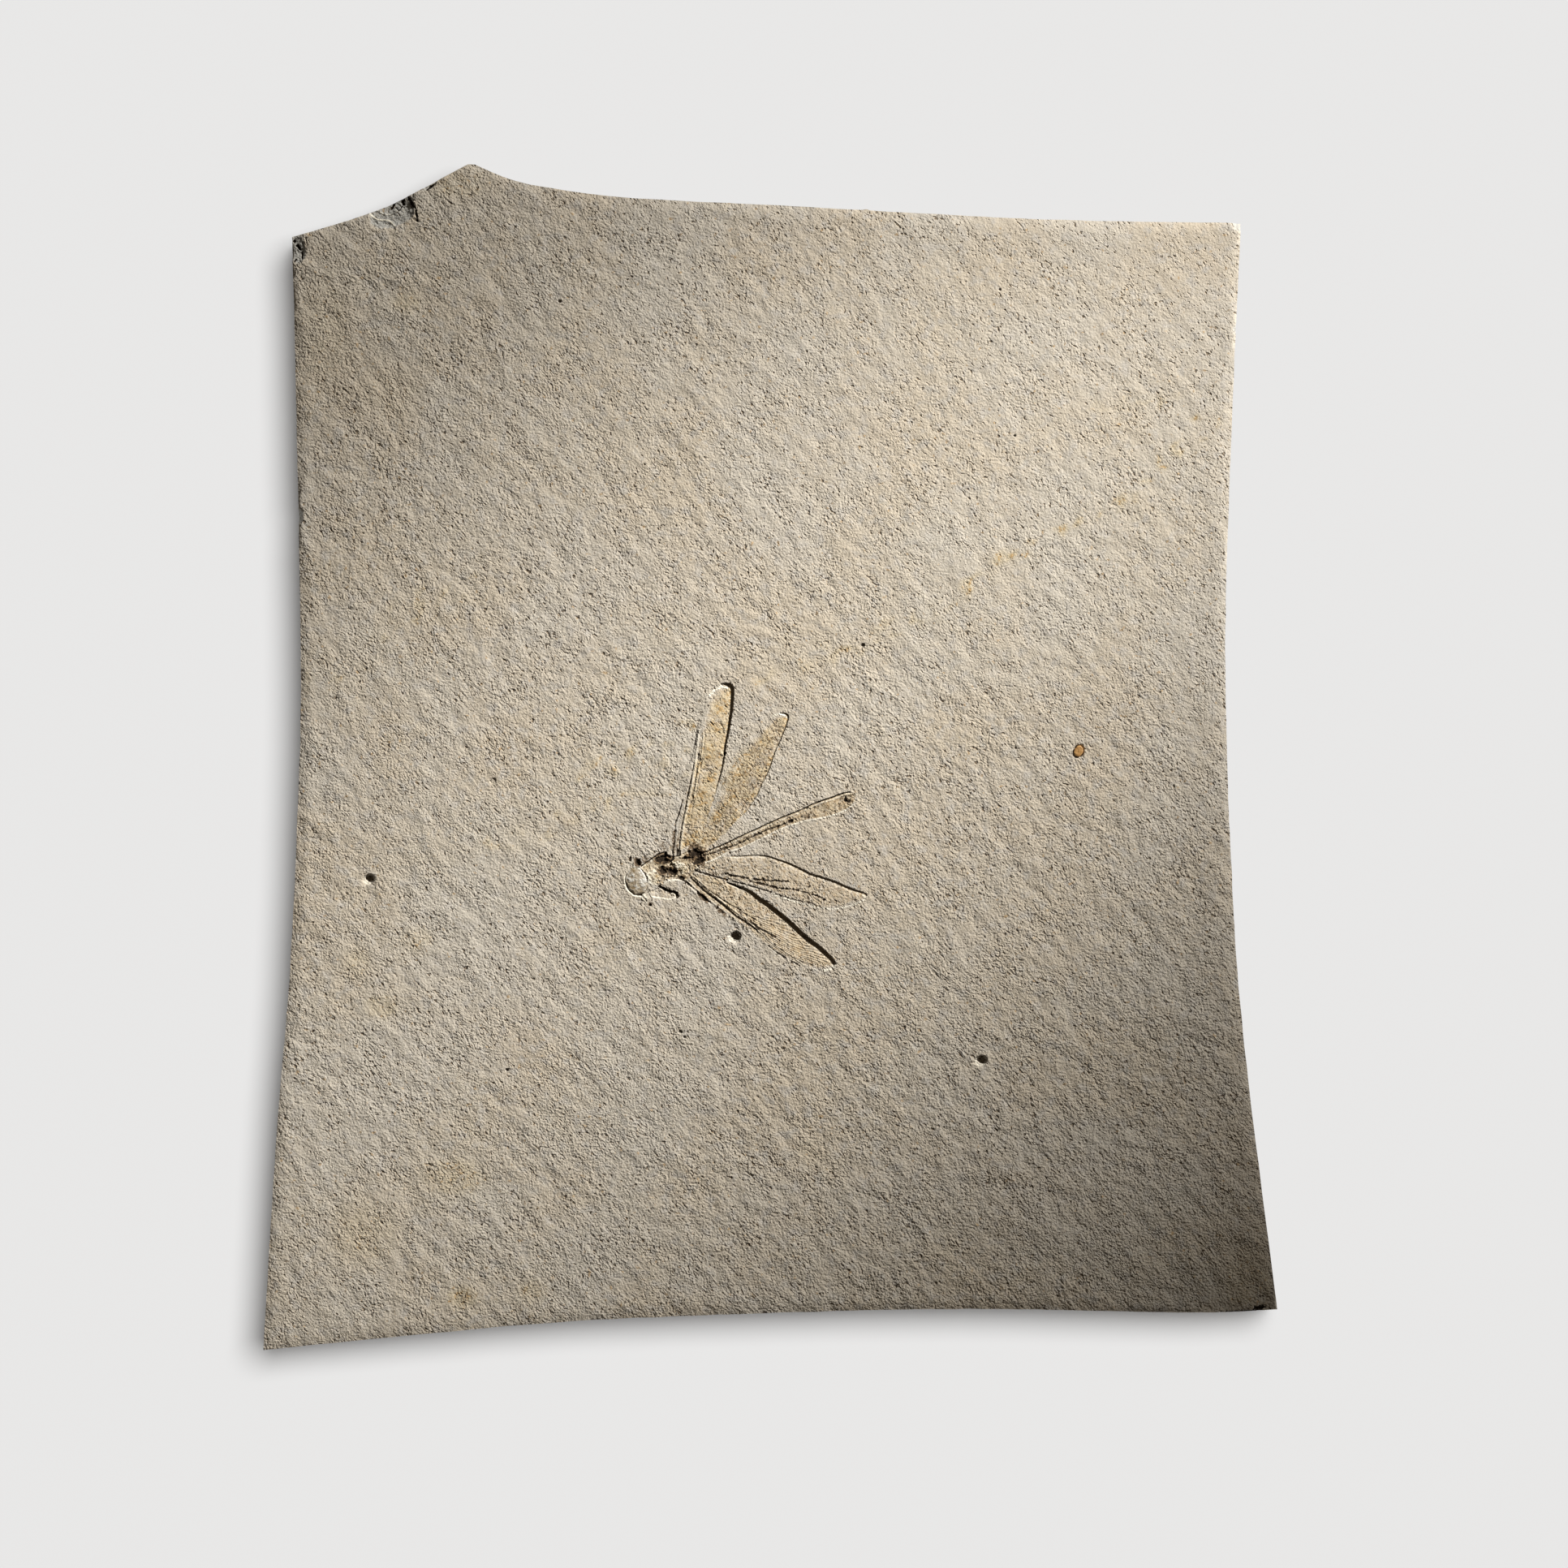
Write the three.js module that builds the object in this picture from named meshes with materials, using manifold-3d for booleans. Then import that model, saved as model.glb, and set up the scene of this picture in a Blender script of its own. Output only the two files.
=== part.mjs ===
// A dragonfly impression in a thin slab of fine-grained lithographic limestone.
// Millimetres, +Z up. The slab lies on its flat underside with the fossil face up. The origin
// is the middle of the slab's bounding box, on the surface that the slab rests on. +Y runs along
// the longer sides, towards the pointed corner.

import * as THREE from 'three';
import { mergeVertices } from 'three/addons/utils/BufferGeometryUtils.js';
import Module from 'manifold-3d';

const wasm = await Module();
wasm.setup();

// Driving dimensions.
const SLAB_THICKNESS = 12;
const WORN_EDGE = 0.5;          // break along the rims of both faces
const WING_DEPTH = 0.4;         // depth of a wing's imprint along its middle
const WING_TILT = 0.06;         // extra depth for each millimetre towards the light-facing edge
const VEIN_HEIGHT = 0.14;
const VEIN_WIDTH = 0.35;
const BODY_DEPTH = 0.45;        // abdomen, leg and spikes
const THORAX_DEPTH = 0.85;
const HEAD_DEPTH = 1.7;         // socket that holds the calcite
const HEAD_RIM_DEPTH = 0.4;     // the shallow step round that socket
const HEAD_RADII = [2.5, 3.0];  // the calcite's half width and half length
const HEAD_TURN = 0.25;
const GRAIN_RADII = [1.0, 1.25];
const GRAIN_TURN = -0.35;
const GRAIN_PROUD = 0.3;        // how far the iron-oxide grain stands over the stone
const SEAT_GAP = 0.3;           // left between a mineral piece and the stone round it

// Drafting values.
const SPLINE_STEPS = 4;
const CUT_HEIGHT = 3;
const TOP = SLAB_THICKNESS;

const materials = {
  limestone: new THREE.MeshStandardMaterial({ color: 0xbfb49c, roughness: 0.92, metalness: 0 }),
  calcite: new THREE.MeshStandardMaterial({ color: 0xa79a88, roughness: 0.3, metalness: 0 }),
  limonite: new THREE.MeshStandardMaterial({ color: 0xb07a35, roughness: 0.55, metalness: 0 }),
};

function solidFrom(geometry) {
  geometry.deleteAttribute('normal');
  geometry.deleteAttribute('uv');
  const merged = mergeVertices(geometry, 1e-4);
  const mesh = new wasm.Mesh({
    numProp: 3,
    vertProperties: new Float32Array(merged.attributes.position.array),
    triVerts: new Uint32Array(merged.index.array),
  });
  return new wasm.Manifold(mesh);
}

function geometryFrom(solid) {
  const mesh = solid.getMesh();
  const geometry = new THREE.BufferGeometry();
  geometry.setAttribute('position', new THREE.BufferAttribute(mesh.vertProperties, 3));
  geometry.setIndex(new THREE.BufferAttribute(mesh.triVerts, 1));
  geometry.computeVertexNormals();
  return geometry;
}

function vectors(points) {
  return points.map(([x, y]) => new THREE.Vector2(x, y));
}

// A closed outline whose sides are smooth curves. Each side starts where the one before ends.
function outlineOf(...sides) {
  const shape = new THREE.Shape();
  shape.moveTo(...sides[0][0]);
  for (const side of sides) {
    shape.splineThru(vectors(side.slice(1)));
  }
  return shape;
}

function extruded(shape, height) {
  const options = { depth: height, bevelEnabled: false, curveSegments: SPLINE_STEPS };
  return solidFrom(new THREE.ExtrudeGeometry(shape, options));
}

// A cutter whose flat floor is `depth` below the slab's face.
function recess(shape, depth) {
  return extruded(shape, CUT_HEIGHT).translate(0, 0, TOP - depth);
}

function ellipsoid([x, y, z], [radiusX, radiusY, radiusZ], turn = 0, columns = 20, rows = 10) {
  const geometry = new THREE.SphereGeometry(1, columns, rows);
  geometry.scale(radiusX, radiusY, radiusZ);
  geometry.rotateZ(turn);
  geometry.translate(x, y, z);
  return solidFrom(geometry);
}

// ---------------------------------------------------------------- the slab's outline
// Five broken sides, each slightly hollow between its corners.
const slabSides = {
  slope: [[-104.1, 113.1], [-91.7, 116.8], [-82.9, 120.1], [-74.0, 124.6], [-65.2, 129.3]],
  top: [[-65.2, 129.3], [-56.4, 125.6], [-47.5, 123.7], [-29.9, 121.6], [5.5, 119.8],
    [58.5, 117.0], [102.5, 116.1]],
  right: [[102.5, 116.1], [100.7, 76.3], [99.1, 23.3], [100.7, -29.7], [103.5, -65.0],
    [110.4, -120.1]],
  bottom: [[110.4, -120.1], [93.8, -120.5], [40.8, -120.1], [-12.2, -121.6], [-47.5, -123.3],
    [-82.9, -126.5], [-110.4, -129.3]],
  left: [[-110.4, -129.3], [-107.1, -82.7], [-104.2, -47.3], [-102.5, -12.0], [-101.8, 18.9],
    [-102.8, 76.3], [-104.1, 113.1]],
};

function slabBlank() {
  const { slope, top, right, bottom, left } = slabSides;
  const options = {
    depth: SLAB_THICKNESS - 2 * WORN_EDGE,
    bevelThickness: WORN_EDGE,
    bevelSize: WORN_EDGE,
    bevelOffset: -WORN_EDGE,
    bevelSegments: 1,
    curveSegments: SPLINE_STEPS,
  };
  const geometry = new THREE.ExtrudeGeometry(outlineOf(slope, top, right, bottom, left), options);
  geometry.translate(0, 0, WORN_EDGE);
  return solidFrom(geometry);
}

// ---------------------------------------------------------------- the four wings
// Each wing has two long edges that both run from its base to its tip. `veins` are the places,
// as a share of the way from the first edge to the second, where lengthwise veins stand up.
const wings = [
  {
    upper: [[-18.4, -20.8], [-14.7, -15.5], [-12.2, -9.0], [-10.4, -1.4], [-8.7, 9.9],
      [-8.1, 14.8], [-9.0, 15.7]],
    lower: [[-20.7, -20.8], [-18.9, -10.8], [-15.9, 1.8], [-13.6, 11.8], [-11.8, 14.8],
      [-9.0, 15.7]],
    veins: [0.4, 0.7, 0.86],
  },
  {
    upper: [[-16.3, -22.1], [-10.8, -18.6], [-5.3, -12.7], [0.0, -2.7], [2.7, 4.4], [4.1, 8.5]],
    lower: [[-17.5, -20.8], [-14.7, -14.7], [-10.4, -8.1], [-5.8, -0.5], [-0.4, 7.6], [2.7, 9.4],
      [4.1, 8.5]],
    veins: [0.2, 0.5, 0.75],
  },
  {
    upper: [[-16.3, -24.0], [-12.2, -22.3], [-5.3, -21.4], [0.5, -22.1], [7.2, -24.6],
      [17.7, -28.4], [21.2, -30.2]],
    lower: [[-16.3, -24.7], [-9.0, -27.4], [-1.8, -29.5], [5.8, -31.6], [14.8, -32.7],
      [18.0, -32.3], [21.2, -30.2]],
    veins: [0.2, 0.4, 0.6, 0.8],
  },
  {
    upper: [[-17.1, -25.1], [-12.2, -26.5], [-6.4, -28.4], [-0.9, -32.5], [7.2, -39.0],
      [12.2, -43.3], [14.5, -45.4]],
    lower: [[-17.5, -26.7], [-11.7, -32.5], [-5.3, -36.7], [0.5, -41.5], [6.4, -45.4],
      [9.5, -46.5], [12.2, -46.5], [14.5, -45.4]],
    veins: [0.3, 0.5, 0.7, 0.88],
  },
];

// A low bar along a wing, to be left standing in its floor.
function veinBar(wing, share) {
  const upper = new THREE.SplineCurve(vectors(wing.upper));
  const lower = new THREE.SplineCurve(vectors(wing.lower));
  const stations = 8;
  const line = [];
  for (let i = 1; i < stations; i += 1) {
    const along = i / stations;
    line.push(upper.getPointAt(along).lerp(lower.getPointAt(along), share));
  }
  const path = new THREE.SplineCurve(line);
  const near = [];
  const far = [];
  for (let i = 0; i <= stations; i += 1) {
    const point = path.getPointAt(i / stations);
    const tangent = path.getTangentAt(i / stations);
    const across = new THREE.Vector2(-tangent.y, tangent.x).multiplyScalar(VEIN_WIDTH / 2);
    near.push(point.clone().add(across));
    far.unshift(point.clone().sub(across));
  }
  const bar = extruded(new THREE.Shape([...near, ...far]), 2 * VEIN_HEIGHT);
  return bar.translate(0, 0, -VEIN_HEIGHT);
}

function wingCutter(wing) {
  const outline = outlineOf(wing.upper, wing.lower.slice().reverse());
  let cutter = extruded(outline, CUT_HEIGHT);
  for (const share of wing.veins) {
    cutter = cutter.subtract(veinBar(wing, share));
  }
  // The floor slopes down towards the upper edge, and is WING_DEPTH deep in the middle.
  const middleUpper = new THREE.SplineCurve(vectors(wing.upper)).getPointAt(0.5);
  const middleLower = new THREE.SplineCurve(vectors(wing.lower)).getPointAt(0.5);
  const middle = middleUpper.clone().add(middleLower).multiplyScalar(0.5);
  const slope = middleUpper.clone().sub(middleLower).normalize().multiplyScalar(-WING_TILT);
  const floor = TOP - WING_DEPTH - slope.dot(middle);
  const shear = new THREE.Matrix4().set(
    1, 0, 0, 0,
    0, 1, 0, 0,
    slope.x, slope.y, 1, floor,
    0, 0, 0, 1,
  );
  return cutter.transform(shear.elements);
}

// ---------------------------------------------------------------- the body
const abdomen = {
  upper: [[-15.4, -21.4], [-5.3, -16.4], [1.8, -13.3], [12.7, -9.0], [16.6, -7.8], [18.7, -8.3]],
  lower: [[18.7, -8.3], [17.7, -10.6], [14.8, -12.2], [10.8, -13.3], [6.4, -14.0], [-0.9, -17.7],
    [-9.9, -21.4], [-15.4, -23.3]],
};
const abdomenRidge = [[-12, -21.2], [-4, -17.8], [4, -14.0], [13, -10.6]];
const thorax = {
  upper: [[-28.3, -23.9], [-23.0, -20.8]],
  shoulder: [[-23.0, -20.8], [-20.1, -20.1], [-15.4, -21.4], [-14.0, -23.3]],
  lower: [[-14.0, -23.3], [-17.5, -25.8], [-19.8, -26.7], [-23.3, -27.9], [-26.3, -28.3]],
};
const thoraxLump = { centre: [-19.4, -24.4], radii: [1.9, 1.3, 0.55] };
const leg = {
  upper: [[-26.3, -28.6], [-25.2, -28.4], [-23.2, -29.2], [-21.0, -29.9], [-20.2, -30.9]],
  lower: [[-20.2, -30.9], [-22.0, -31.3], [-24.4, -31.1], [-26.8, -30.6]],
};
const spikes = [
  [[-31.0, -22.1], [-30.0, -22.1], [-29.6, -24.9], [-30.8, -24.9]],
  [[-29.6, -22.4], [-28.2, -23.0], [-27.8, -24.6], [-28.8, -24.9]],
  [[-27.4, -31.2], [-26.2, -32.6], [-25.7, -32.2], [-26.6, -30.8]],
];
const headCentre = [-29.0, -27.2];

function abdomenCutter() {
  const cutter = recess(outlineOf(abdomen.upper, abdomen.lower), BODY_DEPTH);
  const ridge = new THREE.Shape(vectors(abdomenRidge).concat(
    vectors(abdomenRidge.slice().reverse().map(([x, y]) => [x, y - VEIN_WIDTH])),
  ));
  const bar = extruded(ridge, 2 * VEIN_HEIGHT).translate(0, 0, TOP - BODY_DEPTH - VEIN_HEIGHT);
  return cutter.subtract(bar);
}

function thoraxCutter() {
  const outline = outlineOf(thorax.upper, thorax.shoulder, thorax.lower);
  const cutter = recess(outline, THORAX_DEPTH);
  const { centre, radii } = thoraxLump;
  return cutter.subtract(ellipsoid([...centre, TOP - THORAX_DEPTH], radii, 0.3, 12, 6));
}

function ellipticRecess([x, y], [radiusX, radiusY], turn, depth) {
  const outline = new THREE.Shape();
  outline.absellipse(x, y, radiusX, radiusY, 0, 2 * Math.PI, false, turn);
  const options = { depth: CUT_HEIGHT, bevelEnabled: false, curveSegments: 24 };
  return solidFrom(new THREE.ExtrudeGeometry(outline, options)).translate(0, 0, TOP - depth);
}

function headCutters() {
  const socket = HEAD_RADII.map((radius) => radius + SEAT_GAP);
  const rim = HEAD_RADII.map((radius) => radius + 3 * SEAT_GAP);
  return [
    ellipticRecess(headCentre, socket, HEAD_TURN, HEAD_DEPTH),
    ellipticRecess(headCentre, rim, HEAD_TURN, HEAD_RIM_DEPTH),
  ];
}

// ---------------------------------------------------------------- pits, chips and notches
// Solution pits: place, mouth radius and depth.
const pits = [
  [[-87.1, -26.5], 1.1, 1.3],
  [[-7.8, -39.0], 1.1, 1.3],
  [[45.8, -66.1], 1.1, 1.3],
  [[-60.2, -5.7], 0.9, 0.5],
  [[-19.3, -60.1], 0.7, 0.5],
  [[-57.2, -68.2], 0.4, 0.6],
  [[-45.8, 98.9], 0.5, 0.6],
  [[-37.3, 92.4], 0.8, 0.4],
  [[53.2, 69.8], 0.4, 0.5],
  [[20.1, 24.2], 0.5, 0.5],
];

function pitCutter([[x, y], radius, depth]) {
  const geometry = new THREE.CylinderGeometry(1.2 * radius, 0.55 * radius, 2 * depth, 10);
  geometry.rotateX(Math.PI / 2);
  geometry.translate(x, y, TOP);
  return solidFrom(geometry);
}

// Flakes knocked off the rim: centre, radii and turn.
const chips = [
  [[-81.6, 119.8, TOP + 0.4], [5.6, 4.2, 1.9], 0.46],
  [[-74.2, 124.8, TOP + 0.3], [1.6, 0.9, 0.9], 0.46],
  [[-104.2, 110.6, TOP + 0.3], [2.3, 4.2, 2.2], 0.1],
  [[-102.7, 51.6, TOP], [0.9, 2.0, 1.6], 0],
  [[101.9, 93.1, TOP], [0.9, 1.4, 1.0], 0],
  [[100.2, 44.5, TOP], [0.8, 1.2, 1.0], 0],
  [[102.6, 116.2, TOP], [1.4, 1.4, 1.2], 0],
];

// ---------------------------------------------------------------- assembly
const grainPlace = [67.1, 1.1];

function limestoneSlab() {
  const grainSeat = GRAIN_RADII.map((radius) => radius + SEAT_GAP);
  const cutters = [
    ...wings.map(wingCutter),
    abdomenCutter(),
    thoraxCutter(),
    recess(outlineOf(leg.upper, leg.lower), BODY_DEPTH),
    ...spikes.map((corners) => recess(new THREE.Shape(vectors(corners)), BODY_DEPTH)),
    ...headCutters(),
    ...pits.map(pitCutter),
    ...chips.map(([centre, radii, turn]) => ellipsoid(centre, radii, turn, 16, 8)),
    ellipticRecess(grainPlace, grainSeat, GRAIN_TURN, 3 * SEAT_GAP),
  ];
  const slab = cutters.reduce((stone, cutter) => stone.subtract(cutter), slabBlank());
  return geometryFrom(slab);
}

// A pebble-like mineral piece: a flat seat, a steep side and a low crown.
function mineral(radii, turn, height) {
  const profile = vectors([
    [0, 0], [0.82, 0], [1, 0.3 * height], [0.97, 0.7 * height], [0.6, 0.94 * height], [0, height],
  ]);
  const geometry = new THREE.LatheGeometry(profile, 28);
  geometry.rotateX(Math.PI / 2);
  geometry.scale(radii[0], radii[1], 1);
  geometry.rotateZ(turn);
  return geometryFrom(solidFrom(geometry));
}

const slab = new THREE.Mesh(limestoneSlab(), materials.limestone);
slab.name = 'limestone_slab';

const calciteHeight = HEAD_DEPTH - SEAT_GAP - 0.1;
const calcite = new THREE.Mesh(mineral(HEAD_RADII, HEAD_TURN, calciteHeight), materials.calcite);
calcite.name = 'head_calcite';
calcite.position.set(...headCentre, TOP - HEAD_DEPTH + SEAT_GAP);

const grainHeight = 2 * SEAT_GAP + GRAIN_PROUD;
const grain = new THREE.Mesh(mineral(GRAIN_RADII, GRAIN_TURN, grainHeight), materials.limonite);
grain.name = 'limonite_grain';
grain.position.set(...grainPlace, TOP - 2 * SEAT_GAP);

const fossil = new THREE.Group();
fossil.name = 'fossil_dragonfly';
fossil.add(slab, calcite, grain);

export default fossil;
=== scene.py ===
import math
import random

import bmesh
import bpy
import numpy as np
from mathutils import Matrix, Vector, noise


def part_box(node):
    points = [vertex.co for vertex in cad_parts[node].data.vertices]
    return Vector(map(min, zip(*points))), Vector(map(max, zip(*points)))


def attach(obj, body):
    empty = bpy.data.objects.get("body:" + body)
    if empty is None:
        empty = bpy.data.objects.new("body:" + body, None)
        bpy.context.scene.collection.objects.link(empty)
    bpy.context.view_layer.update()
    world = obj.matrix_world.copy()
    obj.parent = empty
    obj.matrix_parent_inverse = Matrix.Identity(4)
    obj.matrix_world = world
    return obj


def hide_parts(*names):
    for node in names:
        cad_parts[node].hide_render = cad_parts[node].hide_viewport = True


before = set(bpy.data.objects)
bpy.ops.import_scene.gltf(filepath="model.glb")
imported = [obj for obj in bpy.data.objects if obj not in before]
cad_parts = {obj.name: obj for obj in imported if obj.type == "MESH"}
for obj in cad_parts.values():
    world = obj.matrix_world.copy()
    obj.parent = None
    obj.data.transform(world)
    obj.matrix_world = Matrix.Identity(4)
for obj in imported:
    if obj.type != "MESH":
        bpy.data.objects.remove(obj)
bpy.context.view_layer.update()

scene = bpy.context.scene
scene.view_settings.view_transform = "Standard"

MM = 0.001                           # places and sizes below are in millimetres

# ------------------------------------------------------------------ camera
# The slab lies on a table and the camera looks straight down on it through a long lens. The frame
# is square, and the slab's middle lies a little up and to the left of the frame's middle.
FRAME_PIXELS = 1932
PIXELS_PER_MM = 5.66
SLAB_MIDDLE_PIXEL = (949, 932)
CAMERA_LENS = 120
NEAREST_SEEN = 0.01
FARTHEST_SEEN = 20

slab_low, slab_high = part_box("limestone_slab")
TOP = slab_high[2] / MM                      # height of the fossil face, in millimetres
frame_width = FRAME_PIXELS / PIXELS_PER_MM * MM
camera_data = bpy.data.cameras.new("camera")
camera_data.lens = CAMERA_LENS
camera = bpy.data.objects.new("camera", camera_data)
scene.collection.objects.link(camera)
scene.camera = camera
camera.location = (
    (FRAME_PIXELS / 2 - SLAB_MIDDLE_PIXEL[0]) / PIXELS_PER_MM * MM,
    (SLAB_MIDDLE_PIXEL[1] - FRAME_PIXELS / 2) / PIXELS_PER_MM * MM,
    TOP * MM + frame_width * CAMERA_LENS / camera_data.sensor_width,
)
camera_data.clip_start = NEAREST_SEEN
camera_data.clip_end = FARTHEST_SEEN

# ------------------------------------------------------------------ limestone slab: its outline
# A plate of fine-grained limestone, split along its bedding and broken off by hand on five sides,
# each a little hollow between its corners. The sides are drawn as seen from above.
SLOPE_SIDE = [(-104.1, 113.1), (-91.7, 116.8), (-82.9, 120.1), (-74.0, 124.6), (-65.2, 129.3)]
TOP_SIDE = [(-65.2, 129.3), (-56.4, 125.6), (-47.5, 123.7), (-29.9, 121.6), (5.5, 119.8),
            (58.5, 117.0), (102.5, 116.1)]
RIGHT_SIDE = [(110.4, -120.1), (103.5, -65.0), (100.7, -29.7), (99.1, 23.3), (100.7, 76.3),
              (102.5, 116.1)]
BOTTOM_SIDE = [(-110.4, -129.3), (-82.9, -126.5), (-47.5, -123.3), (-12.2, -121.6),
               (40.8, -120.3), (93.8, -121.1), (110.4, -120.4)]
LEFT_SIDE = [(-110.4, -129.3), (-107.5, -82.7), (-104.6, -47.3), (-102.9, -12.0),
             (-102.2, 18.9), (-103.2, 76.3), (-104.1, 113.1)]


def smooth_line(points, steps=12):
    """Points along a smooth curve that passes through the given ones."""
    knots = np.array(points, float)
    knots = np.vstack((2 * knots[0] - knots[1], knots, 2 * knots[-1] - knots[-2]))
    t = np.linspace(0, 1, steps, endpoint=False)[:, None]
    runs = []
    for a, b, c, d in zip(knots, knots[1:], knots[2:], knots[3:]):
        bend = 2 * a - 5 * b + 4 * c - d
        twist = 3 * b - a - 3 * c + d
        runs.append(0.5 * (2 * b + (c - a) * t + bend * t**2 + twist * t**3))
    return np.vstack(runs + [knots[-2:-1]])


def travelled(line):
    """How far along a line each of its points is, from 0 to 1."""
    steps = np.hypot(*np.diff(line, axis=0).T)
    run = np.concatenate(([0], np.cumsum(steps)))
    return run / run[-1]


def point_along(line, share):
    """The places on a line that are the given shares of the way along it."""
    run = travelled(line)
    return np.stack([np.interp(share, run, line[:, axis]) for axis in (0, 1)], axis=-1)


left_edge = smooth_line(LEFT_SIDE)
right_edge = smooth_line(RIGHT_SIDE)
bottom_edge = smooth_line(BOTTOM_SIDE)
top_edge = np.vstack((smooth_line(SLOPE_SIDE)[:-1], smooth_line(TOP_SIDE)))


def lay_out(across, up):
    """Places on the slab, in millimetres, for shares of the way across it and up it."""
    across = across[:, None]
    up = up[:, None]
    left = point_along(left_edge, up[:, 0])
    right = point_along(right_edge, up[:, 0])
    bottom = point_along(bottom_edge, across[:, 0])
    top = point_along(top_edge, across[:, 0])
    corners = (
        (1 - across) * (1 - up) * left_edge[0] + across * (1 - up) * right_edge[0]
        + (1 - across) * up * left_edge[-1] + across * up * right_edge[-1]
    )
    return (1 - across) * left + across * right + (1 - up) * bottom + up * top - corners


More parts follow.
